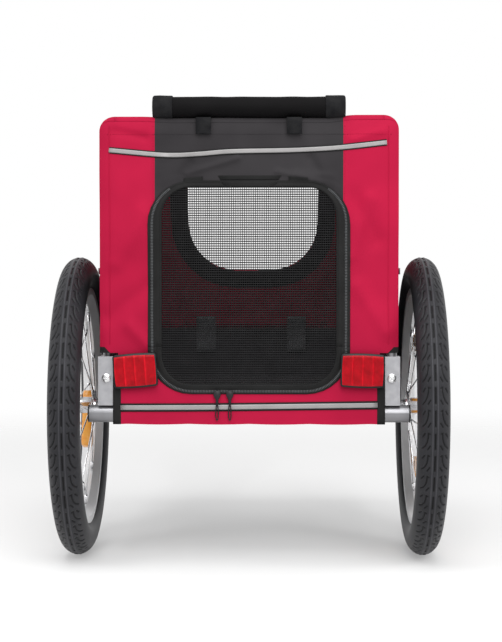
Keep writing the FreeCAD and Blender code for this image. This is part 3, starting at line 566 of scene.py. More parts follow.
door_hole = rounded(DOOR_HALF - DOOR_LAP, door_box[0].z + DOOR_LAP, door_box[1].z - DOOR_LAP,
                    DOOR_R - DOOR_LAP, WALL_STEPS)
wall_edge = [edge_point(x, z) for x, z in rounded(SIDE_X, HEM_Z, ROOF_Z, CROWN, WALL_STEPS)]
wall_rows = [[(x, rear_wall(x, z), z) for x, z in between(door_hole, wall_edge, share)]
             for share in spread(0, 1, WALL_STEPS // 2)]
fold_cut = cut_at(Z, FOLD_Z)
seam_cuts = cut_at(X, -SEAM_X, SEAM_X)
notch_cuts = cut_at(X, -NOTCH_X, NOTCH_X) + cut_at(Z, NOTCH_Z)
corner_cuts = [((sign * CORNER[0], 0, CORNER[1]), (sign, 0, -1)) for sign in SIDES.values()]
rear_upper = tailor(show("rear_wall_upper", *woven(wall_rows, True), RED, BLACK), REARWARD,
                    fold_cut + seam_cuts,
                    keep=lambda x, y, z: z > FOLD_Z,
                    paint=lambda x, y, z: int(abs(x) < SEAM_X), wall=rear_wall)
rear_lower = tailor(show("rear_wall_lower", *woven(wall_rows, True), RED, TAPE), REARWARD,
                    fold_cut + notch_cuts + corner_cuts,
                    keep=lambda x, y, z: z < FOLD_Z and (abs(x) < NOTCH_X or z > NOTCH_Z),
                    paint=lambda x, y, z: int(in_corner(x, z)), wall=rear_wall)
print("rear wall:", len(rear_upper.data.polygons) + len(rear_lower.data.polygons), "faces")

# %% [markdown]
# ## Tapes on the rear wall
# Two reflective stripes with black edges cross the wall. The upper one sags to the left and climbs to
# the right, as it was sewn. Black binding closes the cut edges beside the fold brackets.

# %% Stripes and binding
TAPE_THICK = 0.4 * MM
TAPE_COLUMNS = 4
EDGE_LIFT = 0.7 * MM
STRIPE_LIFT = 1.1 * MM
# Each stripe's places on the wall, the width of its black edge and that of its bright middle, in mm.
STRIPES = {"upper": ([(-176, 532), (-120, 527), (-90, 526), (-60, 527.5), (-20, 530.5), (55, 532),
                      (118, 535.5), (173, 541.5)], 8, 5.3),
           "lower": ([(-162, 208), (-60, 208.4), (60, 209.9), (162, 211.4)], 10.5, 6)}
BINDING_X = 166.5 * MM
BINDING_TOP = 264 * MM
BINDING_BELOW = 1 * MM
BINDING_WIDTH = 10 * MM
BINDING_STEPS = 12


def smooth_path(points, steps=8):
    """A curve through the points, as many steps between each two."""
    ends = [points[0], *points, points[-1]]
    path = []
    for a, b, c, d in zip(ends, ends[1:], ends[2:], ends[3:]):
        for t in spread(0, 1 - 1 / steps, steps - 1):
            path.append(tuple((2 * q + (r - p) * t + (2 * p - 5 * q + 4 * r - s) * t ** 2
                               + (3 * q - p - 3 * r + s) * t ** 3) / 2 for p, q, r, s in zip(a, b, c, d)))
    return path + [points[-1]]


def ribbon(name, path, width, lift, finish):
    """A flat tape along (x, z) on the rear wall, lifted clear of the cloth."""
    rows = []
    for i, (x, z) in enumerate(path):
        x0, z0 = path[max(i - 1, 0)]
        x1, z1 = path[min(i + 1, len(path) - 1)]
        along = Vector((x1 - x0, z1 - z0)).normalized()
        row = []
        for share in spread(-0.5, 0.5, TAPE_COLUMNS):
            u = x - along.y * width * share
            v = z + along.x * width * share
            row.append((u, rear_wall(u, v) - lift, v))
        rows.append(row)
    return thicken(tailor(show(name, *woven(rows), finish), REARWARD), TAPE_THICK)


stripes = {}
for word, (places, outer, inner) in STRIPES.items():
    path = smooth_path([(x * MM, z * MM) for x, z in places])
    stripes[word] = [ribbon(f"{word}_stripe_edge", path, outer * MM, EDGE_LIFT, TAPE),
                     ribbon(f"{word}_stripe", path, inner * MM, STRIPE_LIFT, STRIPE)]
bindings = []
for word, sign in SIDES.items():
    path = [(sign * BINDING_X, z) for z in spread(HEM_Z - BINDING_BELOW, BINDING_TOP, BINDING_STEPS)]
    bindings.append(ribbon(f"corner_binding_{word}", path, BINDING_WIDTH, EDGE_LIFT, TAPE))
print("tapes:", sum(len(pair) for pair in stripes.values()) + len(bindings))

# %% [markdown]
# ## Side walls, skirts, front and roof
# The sides wrap over their hoops and fold with them. The front leans back above a knee and has a deep
# round-bottomed opening, bound in black, which runs on through the roof to the rolled-up cover.

# %% How a side lies
KNEE_AHEAD = 1 * MM
KNEE_RISE = 54 * MM
SIDE_SLACK = 4 * MM
SLACKENS_OVER = 40 * MM
# Steps from the rear edge, close together because the edge is rounded in, and where the wide ones start.
EDGE_STEPS = [gap * MM for gap in (0, 0.3, 0.8, 1.6, 3, 5, 7)]
WIDE_STEPS = 12 * MM
LENGTH_STEPS = 42
HEIGHT_STEPS = 30
CROWN_STEPS = 10
SKIRT_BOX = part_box("side_skirt_left")
knee = (front_box[1].y + KNEE_AHEAD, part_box("hoop_right")[0].z + KNEE_RISE)
lean = Vector((knee[0] - roof_box[1].y, ROOF_Z - knee[1]))


def side_places(start):
    """Places along a side from its rear edge to the knee."""
    return [start + gap for gap in EDGE_STEPS] + spread(start + WIDE_STEPS, knee[0], LENGTH_STEPS)


def side_rows(sign):
    """Rows of points over a side: up from its lower edge and over the crown, its rear end rounded in."""
    foot = SKIRT_BOX[1].z + ON_CLOTH
    top = ROOF_Z - CROWN
    rows = []
    for share in spread(0, 1, HEIGHT_STEPS):
        z = foot + (top - foot) * share
        height = z + LIFTS[sign] * share
        slack = SIDE_SLACK * min(share, 1 - share)
        start = rear_wall(sign * SIDE_X, height)
        row = []
        for y in side_places(start):
            bulge = slack * ripple(y, z) * eased((y - start) / SLACKENS_OVER)
            row.append((sign * (SIDE_X + bulge), y, height))
        rows.append(row)
    top += LIFTS[sign]
    for turn in spread(0, math.pi / 2, CROWN_STEPS)[1:]:
        inset = EDGE_CURL * math.sin(turn) ** 2
        low = CROWN - inset
        start = rear_wall(sign * (SIDE_X - CROWN + low * math.cos(turn)), top + low * math.sin(turn))
        row = []
        for y in side_places(start):
            short = 1 - min((y - start) / inset, 1)
            radius = CROWN - inset * (1 - math.sqrt(1 - short * short))
            row.append((sign * (SIDE_X - CROWN + radius * math.cos(turn)), y, top + radius * math.sin(turn)))
        rows.append(row)
    return rows


print("the front leans by", round(math.degrees(math.atan2(lean.x, lean.y)), 1), "degrees")

# %% How a side is cut
STRIPE_Z = 380 * MM
STRIP_WIDTH = 15 * MM
BEHIND_HOOP = 1 * MM
BEHIND_FRONT = 1.5 * MM
LEAN_NORMAL = Vector((0, lean.y, lean.x)).normalized()
KNEE_PLACE = Vector((0, *knee))
STRIP_PLACE = KNEE_PLACE - STRIP_WIDTH * LEAN_NORMAL
STRIP_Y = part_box("hoop_left")[0].y - BEHIND_HOOP
FRONT_STOP = front_box[1].y - BEHIND_FRONT
OUT_AND_UP = 0.2


def ahead(place, y, z):
    """Whether (y, z) lies ahead of the plane through a place that leans as the front does."""
    return LEAN_NORMAL.dot(Vector((0, y, z)) - place) > 0


def side_cut(title, name, sign, keep):
    """One cut of a side's cloth: the part that keep says yes to."""
    cuts = cut_at(Y, SKIRT_BOX[0].y, SKIRT_BOX[1].y, STRIP_Y, FRONT_STOP) + cut_at(Z, NOTCH_Z, STRIPE_Z)
    cuts += [(KNEE_PLACE, LEAN_NORMAL), (STRIP_PLACE, LEAN_NORMAL)]

    def inside(x, y, z):
        clear = z > NOTCH_Z or SKIRT_BOX[0].y < y < SKIRT_BOX[1].y
        return clear and keep(y, z) and not ahead(KNEE_PLACE, y, z)

    cloth = show(f"{title}_{name}", *woven(side_rows(sign)), RED, BLACK)
    tailor(cloth, (sign, 0, OUT_AND_UP), cuts, inside, lambda x, y, z: int(z < STRIPE_Z))
    return thicken(cloth, CLOTH)


print("strip beside the left hoop up to", round(STRIP_Y, 4))

# %% Side walls, their stripes and skirts
SIDE_STRIPE_HALF = 4 * MM
SIDE_STRIPE_OUT = 2.2 * MM
SIDE_STRIPE_THICK = 0.8 * MM
SIDE_STRIPE_ENDS = (7 * MM, 6 * MM)
SIDE_STRIPE_STEPS = 30
SIDE_STRIPE_ROWS = 2
SLEEVE_HOLE = 9 * MM
ALMOST_ROUND = 0.999
SKIRT_CORNER = 2 * MM
SKIRT_STEPS = 8


def side_stripe(name, sign):
    """The reflective tape along the seam between the side's red and black cloth."""
    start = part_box(f"side_panel_{name}")[0].y + SIDE_STRIPE_ENDS[0]
    rows = []
    for z in spread(STRIPE_Z - SIDE_STRIPE_HALF, STRIPE_Z + SIDE_STRIPE_HALF, SIDE_STRIPE_ROWS):
        stop = knee[0] - (z - knee[1]) * lean.x / lean.y - SIDE_STRIPE_ENDS[1]
        places = spread(start, stop, SIDE_STRIPE_STEPS)
        rows.append([(sign * (SIDE_X + SIDE_STRIPE_OUT), y, z) for y in places])
    tape = tailor(show(f"side_stripe_{name}", *woven(rows), STRIPE), (sign, 0, 0))
    return thicken(tape, SIDE_STRIPE_THICK)


def skirt(name, sign):
    """The lower edge of a side, sewn to the floor frame round the axle sleeve."""
    low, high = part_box(f"side_skirt_{name}")
    hole = rounded(SLEEVE_HOLE, WHEEL_R - SLEEVE_HOLE, WHEEL_R + SLEEVE_HOLE, SLEEVE_HOLE * ALMOST_ROUND)
    middle = (low.y + high.y) / 2
    edge = rounded((high.y - low.y) / 2, low.z, high.z, SKIRT_CORNER)
    edge = [(y + middle - AXLE_Y, z) for y, z in edge]
    rows = [[(sign * SIDE_X, AXLE_Y + y, z) for y, z in between(hole, edge, share)]
            for share in spread(0, 1, SKIRT_STEPS)]
    return thicken(tailor(show(f"skirt_{name}", *woven(rows, True), BLACK), (sign, 0, 0)), CLOTH)


covers = {"left": lambda y, z: y > STRIP_Y and not ahead(STRIP_PLACE, y, z),
          "right": lambda y, z: y < FRONT_STOP}
side_walls = {}
for word, sign in SIDES.items():
    side_walls[word] = [side_cut("side_wall", word, sign, covers[word]), side_stripe(word, sign),
                        skirt(word, sign)]
rear_strip = side_cut("rear_strip", "left", SIDES["left"], lambda y, z: y < STRIP_Y)
front_strip = side_cut("front_strip", "left", SIDES["left"], lambda y, z: ahead(STRIP_PLACE, y, z))
print("side pieces:", sum(len(group) for group in side_walls.values()))

# %% Front wall
HATCH_HALF = 98 * MM
HATCH_LOW = 382 * MM
HATCH_R = 70 * MM
BAND = 26 * MM
BAND_THICK = 3 * MM
BAND_STEPS = 4
FRONT_STEPS = 14
ABOVE = ROOF_Z + 90 * MM
FRONT_TOP = ROOF_Z + LIFTS[-1]
KNEE_BEND = 12 * MM
FRONT_RIPPLE = 0.8 * MM
hatch = rounded(HATCH_HALF, HATCH_LOW, ABOVE, HATCH_R)


def front_wall(x, z):
    """Upright below the knee, leaning back above it, with a soft bend between."""
    over = z - knee[1]
    above = (over + math.sqrt(over ** 2 + KNEE_BEND ** 2)) / 2
    return front_box[1].y - above * lean.x / lean.y + FRONT_RIPPLE * (1 + ripple(x, z))


def front_grid(outline, steps):
    """Rows of points on the front from the opening out to an outline."""
    return [[(x, front_wall(x, z), z) for x, z in between(hatch, outline, share)]
            for share in spread(0, 1, steps)]


band_rows = front_grid(rounded(HATCH_HALF + BAND, HATCH_LOW - BAND, ABOVE, HATCH_R + BAND), BAND_STEPS)
front_rows = front_grid(rounded(SIDE_X, HEM_Z, FRONT_TOP, CROWN), FRONT_STEPS)
top_cut = cut_at(Z, FRONT_TOP)
knee_cut = cut_at(Z, knee[1])
front_upper = tailor(show("front_wall_upper", *woven(front_rows, True), RED), FORWARD, top_cut + knee_cut,
                     lambda x, y, z: knee[1] < z < FRONT_TOP)
front_lower = tailor(show("front_wall_lower", *woven(front_rows, True), BLACK), FORWARD,
                     knee_cut + notch_cuts,
                     lambda x, y, z: z < knee[1] and (abs(x) < NOTCH_X or z > NOTCH_Z))
hatch_binding = tailor(show("front_hatch_binding", *woven(band_rows, True), TAPE), FORWARD, top_cut,
                       lambda x, y, z: z < FRONT_TOP)
thicken(front_upper, CLOTH)
thicken(front_lower, CLOTH)
thicken(hatch_binding, BAND_THICK, 0)
print("front wall:", len(front_upper.data.polygons) + len(front_lower.data.polygons), "faces")

# %% Roof
HATCH_REAR = REAR_Y + 45 * MM
ROOF_FRONT = roof_box[1].y
ROOF_HALF = SIDE_X - CROWN
ROOF_SLACK = 2 * MM
ROOF_RIPPLE = 0.8 * MM
SAGS_OVER = 60 * MM
CURL_ENDS = REAR_Y + 14 * MM
CURL_STEPS = 8
ROOF_STEPS_ACROSS = 48
ROOF_STEPS_ALONG = 26


def roof_height(x, y):
    """Level with the crowns at both sides and a little slack between them."""
    inside = eased((y - REAR_Y) / SAGS_OVER) * eased((ROOF_FRONT - y) / SAGS_OVER)
    slack = math.cos(math.pi / 2 * x / ROOF_HALF) * inside
    return ROOF_Z + roof_rise(x) - slack * (ROOF_SLACK - ROOF_RIPPLE * ripple(x, y))


roof_rows = []
across_roof = spread(-ROOF_HALF, ROOF_HALF, ROOF_STEPS_ACROSS)
for turn in spread(0, math.pi / 2, CURL_STEPS):
    row = []
    for x in across_roof:
        top = roof_height(x, REAR_Y)
        y = rear_wall(x, top - EDGE_CURL) + EDGE_CURL * (1 - math.cos(turn))
        row.append((x, y, top - EDGE_CURL * (1 - math.sin(turn))))
    roof_rows.append(row)
for y in spread(CURL_ENDS, ROOF_FRONT, ROOF_STEPS_ALONG):
    roof_rows.append([(x, y, roof_height(x, y)) for x in across_roof])
roof_cloth = tailor(show("roof_cloth", *woven(roof_rows), RED, BLACK), UP_AND_REARWARD,
                    seam_cuts + cut_at(X, -HATCH_HALF, HATCH_HALF) + cut_at(Y, HATCH_REAR),
                    lambda x, y, z: abs(x) > HATCH_HALF or y < HATCH_REAR,
                    lambda x, y, z: int(abs(x) < SEAM_X))
thicken(roof_cloth, CLOTH)
print("roof:", len(roof_cloth.data.polygons), "faces")

# %% [markdown]
# ## The rolled-up cover
# A cover for the roof opening is rolled back and held by two hook-and-loop bands, so the roll is one
# sheet wound into a spiral. Two short patches below it are what the cover's straps close on.

# %% Rolled cover and its bands
roll_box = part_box("cover_roll")
ROLL_MIDDLE = (roll_box[0] + roll_box[1]) / 2
ROLL_HALF = (roll_box[1].x - roll_box[0].x) / 2
ROLL_R = (roll_box[1].z - roll_box[0].z) / 2
ROLL_PITCH = 1.1 * MM
ROLL_CLOTH = 0.6 * MM
ROLL_CORE = 2.5 * MM
ROLL_ENDS = -math.pi / 3
STEPS_A_TURN = 30
STEPS_ALONG_ROLL = 36
STEPS_ROUND_BAND = 48
UNEVEN = 0.025
UNEVEN_ALONG = 3
UNEVEN_ROUND = 0.08
# The band's section in mm: how far past the roll's end, and how far outside the roll.
BAND_PROFILE = [(0.8, -5), (0.8, -1.6), (0.2, -0.4), (-1.5, 0.3), (-8, 0.4), (-16, 0.3), (-23, 0.4),
                (-24, 0)]
LOOP_THICK = 0.5 * MM


def roll_point(x, turn, radius):
    """A point on the roll, with the slight unevenness of hand-rolled cloth."""
    wave = ripple(UNEVEN_ALONG * x + UNEVEN_ROUND * math.cos(turn), UNEVEN_ROUND * math.sin(turn))
    uneven = radius * (1 + UNEVEN * wave)
    return (x, ROLL_MIDDLE.y + uneven * math.cos(turn), ROLL_MIDDLE.z + uneven * math.sin(turn))


turns = (ROLL_R - ROLL_CLOTH - ROLL_CORE) / ROLL_PITCH
winding = spread(0, turns * math.tau, int(turns * STEPS_A_TURN))
radii = [ROLL_CORE + ROLL_PITCH * turn / math.tau for turn in winding]
first_turn = ROLL_ENDS - turns * math.tau
roll_rows = [[roll_point(x, first_turn + turn, radius) for turn, radius in zip(winding, radii)]
             for x in spread(-ROLL_HALF, ROLL_HALF, STEPS_ALONG_ROLL)]
roll_cloth = thicken(show("cover_roll_cloth", *woven(roll_rows), SOFT), ROLL_CLOTH, 0)
roll_bands = []
for word, sign in SIDES.items():
    rows = [[roll_point(sign * (ROLL_HALF + out * MM), turn, ROLL_R + up * MM)
             for turn in spread(0, math.tau, STEPS_ROUND_BAND)[:-1]] for out, up in BAND_PROFILE]
    roll_bands.append(thicken(show(f"roll_band_{word}", *woven(rows, True), LOOP), LOOP_THICK, 0))

# %% Patches under the roll
PATCH_THICK = 0.8 * MM
TAB_FACE = REAR_Y - 3.4 * MM
# The patch's bend over the roof's edge in mm: ahead of its face, and above the roof.
TAB_BEND = [(11, 1.5), (5, 0.6), (1, -3), (0, -8)]
TAB_END = 8 * MM
TAB_STEPS = 4


def patch(name, path, x, width, finish):
    """A strip of hook-and-loop or webbing along (y, z), centred on x."""
    rows = [[(x + width * share, y, z) for share in spread(-0.5, 0.5, TAPE_COLUMNS)] for y, z in path]
    return thicken(tailor(show(name, *woven(rows), finish), REARWARD_AND_UP), PATCH_THICK, 0)


tabs = {}
for word in SIDES:
    low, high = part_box(f"cover_tab_{word}")
    path = [(TAB_FACE + inward * MM, ROOF_Z + up * MM) for inward, up in TAB_BEND]
    path += [(TAB_FACE, low.z + TAB_END), (TAB_FACE, low.z)]
    middle = (low.x + high.x) / 2
    path = smooth_path(path, TAB_STEPS)
    tabs[word] = patch(f"cover_patch_{word}", path, middle, high.x - low.x, LOOP)
print("patches:", len(tabs))

# %% [markdown]
# ## Geometry Nodes for what repeats
# Three small trees serve everything that repeats: one turns a path into a cord, one sets copies along a
# path, and one sets copies round an axle. Each result is baked to a plain mesh, so poses stay light.

# %% How a node tree starts and ends
def new_tree(name, *sockets):
    """A geometry tree with named inputs; gives the tree and what its input node puts out."""
    tree = bpy.data.node_groups.new(name, "GeometryNodeTree")
    tree.interface.new_socket("Geometry", in_out="OUTPUT", socket_type="NodeSocketGeometry")
    tree.interface.new_socket("Geometry", in_out="INPUT", socket_type="NodeSocketGeometry")
    for label, kind in sockets:
        tree.interface.new_socket(label, in_out="INPUT", socket_type=kind)
    return tree, add(tree, "NodeGroupInput").outputs


def close_tree(tree, geometry, finish):
    """Real geometry with one finish at the tree's output."""
    real = add(tree, "GeometryNodeRealizeInstances", inputs={"Geometry": geometry})
    painted = add(tree, "GeometryNodeSetMaterial", inputs={"Geometry": real.outputs[0], "Material": finish})
    add(tree, "NodeGroupOutput", inputs={"Geometry": painted.outputs[0]})
    return tree


print("node trees so far:", len(bpy.data.node_groups))

# %% Trees for cords, rows and wheels
CORD_SIDES = 5


def cord_tree():
    """A round cord along every path."""
    tree, given = new_tree("cord", ("Radius", "NodeSocketFloat"), ("Material", "NodeSocketMaterial"))
    curve = add(tree, "GeometryNodeMeshToCurve", inputs={"Mesh": given["Geometry"]})
    ring = add(tree, "GeometryNodeCurvePrimitiveCircle",
               inputs={"Resolution": CORD_SIDES, "Radius": given["Radius"]})
    cord = add(tree, "GeometryNodeCurveToMesh",
               inputs={"Curve": curve.outputs[0], "Profile Curve": ring.outputs[0], "Fill Caps": True})
    return close_tree(tree, cord.outputs[0], given["Material"])


def row_tree():
    """Copies of an item along every path, one pitch apart and turned with the path."""
    tree, given = new_tree("row", ("Item", "NodeSocketObject"), ("Pitch", "NodeSocketFloat"),
                           ("Material", "NodeSocketMaterial"))
    curve = add(tree, "GeometryNodeMeshToCurve", inputs={"Mesh": given["Geometry"]})
    dots = add(tree, "GeometryNodeResampleCurve", {"mode": "LENGTH"},
               {"Curve": curve.outputs[0], "Length": given["Pitch"]})
    tangent = add(tree, "GeometryNodeInputTangent")
    turn = add(tree, "FunctionNodeAlignRotationToVector", {"axis": "X", "pivot_axis": "Y"},
               {"Vector": tangent.outputs[0]})
    item = add(tree, "GeometryNodeObjectInfo", inputs={"Object": given["Item"]})
    copies = add(tree, "GeometryNodeInstanceOnPoints", inputs={
        "Points": dots.outputs[0], "Instance": item.outputs["Geometry"], "Rotation": turn.outputs[0]})
    return close_tree(tree, copies.outputs[0], given["Material"])


def wheel_tree():
    """Copies of the piece turned round an axle along X, and welded where they meet."""
    tree, given = new_tree("wheel", ("Count", "NodeSocketInt"), ("Centre", "NodeSocketVector"),
                           ("Weld", "NodeSocketFloat"), ("Material", "NodeSocketMaterial"))
    dots = add(tree, "GeometryNodeMeshLine", inputs={
        "Count": given["Count"], "Start Location": given["Centre"], "Offset": (0.0, 0.0, 0.0)})
    index = add(tree, "GeometryNodeInputIndex")
    share = add(tree, "ShaderNodeMath", {"operation": "DIVIDE"}, {0: index.outputs[0], 1: given["Count"]})
    angle = add(tree, "ShaderNodeMath", {"operation": "MULTIPLY"}, {0: share.outputs[0], 1: math.tau})
    turn = add(tree, "FunctionNodeAxisAngleToRotation",
               inputs={"Axis": (1.0, 0.0, 0.0), "Angle": angle.outputs[0]})
    copies = add(tree, "GeometryNodeInstanceOnPoints", inputs={
        "Points": dots.outputs[0], "Instance": given["Geometry"], "Rotation": turn.outputs[0]})
    real = add(tree, "GeometryNodeRealizeInstances", inputs={"Geometry": copies.outputs[0]})
    whole = add(tree, "GeometryNodeMergeByDistance",
                inputs={"Geometry": real.outputs[0], "Distance": given["Weld"]})
    return close_tree(tree, whole.outputs[0], given["Material"])


CORD = cord_tree()
ROW = row_tree()
WHEEL = wheel_tree()
print("node trees ready:", len(bpy.data.node_groups))

# %% Grow a tree on a piece
def lines(name, paths, closed=False):
    """A piece of bare edges along each path, for a tree to grow on."""
    points = []
    edges = []
    for path in paths:
        first = len(points)
        points += path
        edges += [(first + i, first + i + 1) for i in range(len(path) - 1)]
        if closed:
            edges.append((first + len(path) - 1, first))
    mesh = bpy.data.meshes.new(name)
    mesh.from_pydata(points, edges, [])
    piece = bpy.data.objects.new(name, mesh)
    bpy.context.scene.collection.objects.link(piece)
    return piece


def grown(piece, tree, **values):
    """Runs a tree on a piece with these inputs and keeps the result as its plain mesh."""
    modifier = piece.modifiers.new("grow", "NODES")
    modifier.node_group = tree
    for item in tree.interface.items_tree:
        if item.in_out == "INPUT" and item.name in values:
            modifier[item.identifier] = values[item.name]
    piece.update_tag()
    bpy.context.view_layer.update()
    seen = piece.evaluated_get(bpy.context.evaluated_depsgraph_get())
    mesh = bpy.data.meshes.new_from_object(seen)
    piece.modifiers.clear()
    mesh.shade_smooth()
    piece.data = mesh
    return piece


print("ready to grow cords, rows and wheels")

# %% [markdown]
# ## Door
# A net in a sewn border, closed by a coil zip that runs round both sides and the bottom. The net is
# woven from single cords, because its gaps show the pale floor behind; a picture of holes would not.

# %% Door border
DOOR_LIFT = 0.6 * MM
INNER_R = DOOR_R - (DOOR_HALF - net_box[1].x)
# The border's section: the share of the way from its outer to its inner edge, and how proud it is in mm.
BORDER_PROFILE = [(0, 0), (0.06, 0.9), (0.2, 1.1), (0.3, 0.6), (0.4, 1.1), (0.55, 1.2), (0.62, 2.0),
                  (0.8, 2.6), (0.95, 2.0), (1, 0.4)]


def on_door(path, lift):
    """Places (x, z) laid on the door, lifted clear of it."""
    return [(x, rear_wall(x, z) - DOOR_LIFT - lift, z) for x, z in path]


door_edge = rounded(DOOR_HALF, door_box[0].z, door_box[1].z, DOOR_R)
door_inner = rounded(net_box[1].x, net_box[0].z, net_box[1].z, INNER_R)
border_rows = [on_door(between(door_edge, door_inner, share), proud * MM) for share, proud in BORDER_PROFILE]
door_border = thicken(tailor(show("door_border_tape", *woven(border_rows, True), TAPE), REARWARD), CLOTH)
print("door border:", len(door_border.data.polygons), "faces")

# %% Net
WARP_PITCH = 2.75 * MM
WARP_R = 0.48 * MM
WEFT_PITCH = 2.95 * MM
WEFT_R = 0.72 * MM
WEFT_LIFT = 0.3 * MM
NET_TUCK = 4 * MM
CORD_STEPS = 24


def net_reach(across, half, low, high, radius):
    """Where a cord starts and stops at this distance across, inside a rounded corner."""
    straight = half - radius
    if abs(across) <= straight:
        return low, high
    rise = radius - math.sqrt(max(radius ** 2 - (abs(across) - straight) ** 2, 0))
    return low + rise, high - rise


def net_paths(pitch, upright):
    """Cords of one direction, this far apart, that end under the border."""
    half = net_box[1].x + NET_TUCK
    low = net_box[0].z - NET_TUCK
    high = net_box[1].z + NET_TUCK
    radius = INNER_R + NET_TUCK
    middle = (low + high) / 2
    paths = []
    count = int((half if upright else middle - low) / pitch)
    for place in spread(-count * pitch, count * pitch, 2 * count):
        if upright:
            start, stop = net_reach(place, half, low, high, radius)
            paths.append(on_door([(place, z) for z in spread(start, stop, CORD_STEPS)], 0))
        else:
            start, stop = net_reach(place, middle - low, -half, half, radius)
            paths.append(on_door([(x, middle + place) for x in spread(start, stop, CORD_STEPS)], WEFT_LIFT))
    return paths


door_net = grown(lines("door_net_warp", net_paths(WARP_PITCH, True)), CORD, Radius=WARP_R, Material=NET)
net_weft = grown(lines("door_net_weft", net_paths(WEFT_PITCH, False)), CORD, Radius=WEFT_R, Material=NET)
print("net:", len(door_net.data.polygons) + len(net_weft.data.polygons), "faces")

# %% Zip coil and the border's stitches
# A small bar's section, as shares of its width and height, and its stations, as shares of its half length
# and of its size.
BAR_RING = [(0.5, 0.0), (0.3, 0.8), (-0.3, 0.8), (-0.5, 0.0)]
BAR_STATIONS = [(-1, 0.5), (-0.6, 1.0), (0.6, 1.0), (1, 0.5)]
COIL_PITCH = 1.9 * MM
COIL_LIFT = 0.5 * MM
COIL_AT = 0.3
COIL_TOP = door_box[1].z - 9 * MM
LEFT_FIRST = 0.1
# Length, width and height of one turn of the coil, and of one stitch.
TOOTH_SIZE = (1.2 * MM, 4.2 * MM, 1.2 * MM)
STITCH_SIZE = (2.2 * MM, 0.8 * MM, 0.4 * MM)
BORDER_STITCH = 3.2 * MM
BORDER_STITCH_LIFT = 2.6 * MM
BORDER_STITCH_AT = 0.86


def bar(name, length, width, height):
    """A small rounded bar along X that faces the rear, with few faces because it repeats."""
    rows = [[(length / 2 * along, -height * up * size, width * across * size) for across, up in BAR_RING]
            for along, size in BAR_STATIONS]
    return show(name, *woven(rows, True))


def sewn(name, paths, item, pitch, finish):
    return grown(lines(name, paths), ROW, Item=item, Pitch=pitch, Material=finish)


tooth = bar("coil_tooth", *TOOTH_SIZE)
stitch = bar("stitch", *STITCH_SIZE)
coil_loop = [place for place in between(door_edge, door_inner, COIL_AT) if place[1] < COIL_TOP]
coil_path = on_door(coil_loop, COIL_LIFT)
# The coil starts at its upper left end, which leaves the door's upper edge without one.
start = max(range(len(coil_path)), key=lambda i: coil_path[i][Z] - LEFT_FIRST * coil_path[i][X])
zip_coil = sewn("zip_coil", [coil_path[start:] + coil_path[:start]], tooth, COIL_PITCH, COIL)
stitch_path = on_door(between(door_edge, door_inner, BORDER_STITCH_AT), BORDER_STITCH_LIFT)
border_stitches = sewn("border_stitches", [stitch_path], stitch, BORDER_STITCH, TAPE)
print("zip coil:", len(zip_coil.data.polygons), "faces")

# %% Patches over the door
FLAP_THICK = 0.8 * MM
FLAP_ROWS = 4
FLAP_COLUMNS = 6
# Each patch's four corners (x, z) on the rear wall and how far it stands off it, in mm.
FLAPS = {"door_header_flap": ([(-30, 486), (31, 486), (35.5, 492.6), (-34, 492.6)], 3.2),
         "wall_header_flap": ([(-36, 494.6), (37, 494.6), (41, 500.2), (-39, 500.2)], 0.5),
         "zip_end_left": ([(-82, 492.5), (-58, 492.5), (-58, 499), (-82, 497)], 1.2),
         "zip_end_right": ([(50, 492.5), (74, 492.5), (74, 497), (50, 499)], 1.2)}


def on_wall(path, lift):
    """Places (x, z) laid on the rear wall, lifted clear of it."""
    return [(x, rear_wall(x, z) - lift, z) for x, z in path]


def flap(name, corners, lift):
    """A small sewn-on patch between four corners on the rear wall."""
    a, b, c, d = [Vector(corner) * MM for corner in corners]
    rows = []
    for v in spread(0, 1, FLAP_ROWS):
        left = a.lerp(d, v)
        right = b.lerp(c, v)
        rows.append(on_wall([left.lerp(right, u) for u in spread(0, 1, FLAP_COLUMNS)], lift * MM))
    return thicken(tailor(show(name, *woven(rows), TAPE), REARWARD), FLAP_THICK)


door_flap, header, *zip_ends = [flap(name, *values) for name, values in FLAPS.items()]
print("patches:", len(FLAPS))

# %% Seams of the rear wall
WALL_STITCH = 3.4 * MM
STITCH_BESIDE = 2 * MM
TUNNEL_ENDS = 178 * MM
SEAM_LOW = 440 * MM
SEAM_TOP = 562 * MM
PIPING_R = 0.7 * MM
PIPING_LOW = FOLD_Z + 4 * MM
TUNNEL_STEPS = 10
SEAM_STEPS = 12
PIPING_STEPS = 40
beside = SEAM_X + STITCH_BESIDE
tunnel_xs = spread(beside, TUNNEL_ENDS, TUNNEL_STEPS)
seam_zs = spread(SEAM_LOW, SEAM_TOP, SEAM_STEPS)
piping_zs = spread(PIPING_LOW, SEAM_TOP, PIPING_STEPS)
red_seams = []
piping = []
for sign in SIDES.values():
    red_seams.append(on_wall([(sign * x, TUNNEL_Z) for x in tunnel_xs], ON_CLOTH))
    red_seams.append(on_wall([(sign * beside, z) for z in seam_zs], ON_CLOTH))
    piping.append(on_wall([(sign * EDGE_SEAM, z) for z in piping_zs], ON_CLOTH))
wall_stitches = sewn("red_stitches", red_seams, stitch, WALL_STITCH, RED)
wall_piping = grown(lines("wall_piping", piping), CORD, Radius=PIPING_R, Material=RED)
black_seam = on_wall([(x, TUNNEL_Z) for x in spread(-SEAM_X, SEAM_X, 2 * TUNNEL_STEPS)], ON_CLOTH)
black_stitches = sewn("black_stitches", [black_seam], stitch, WALL_STITCH, BLACK)
for item in (tooth, stitch):
    bpy.data.objects.remove(item)
print("stitches:", len(wall_stitches.data.polygons) + len(black_stitches.data.polygons), "faces")
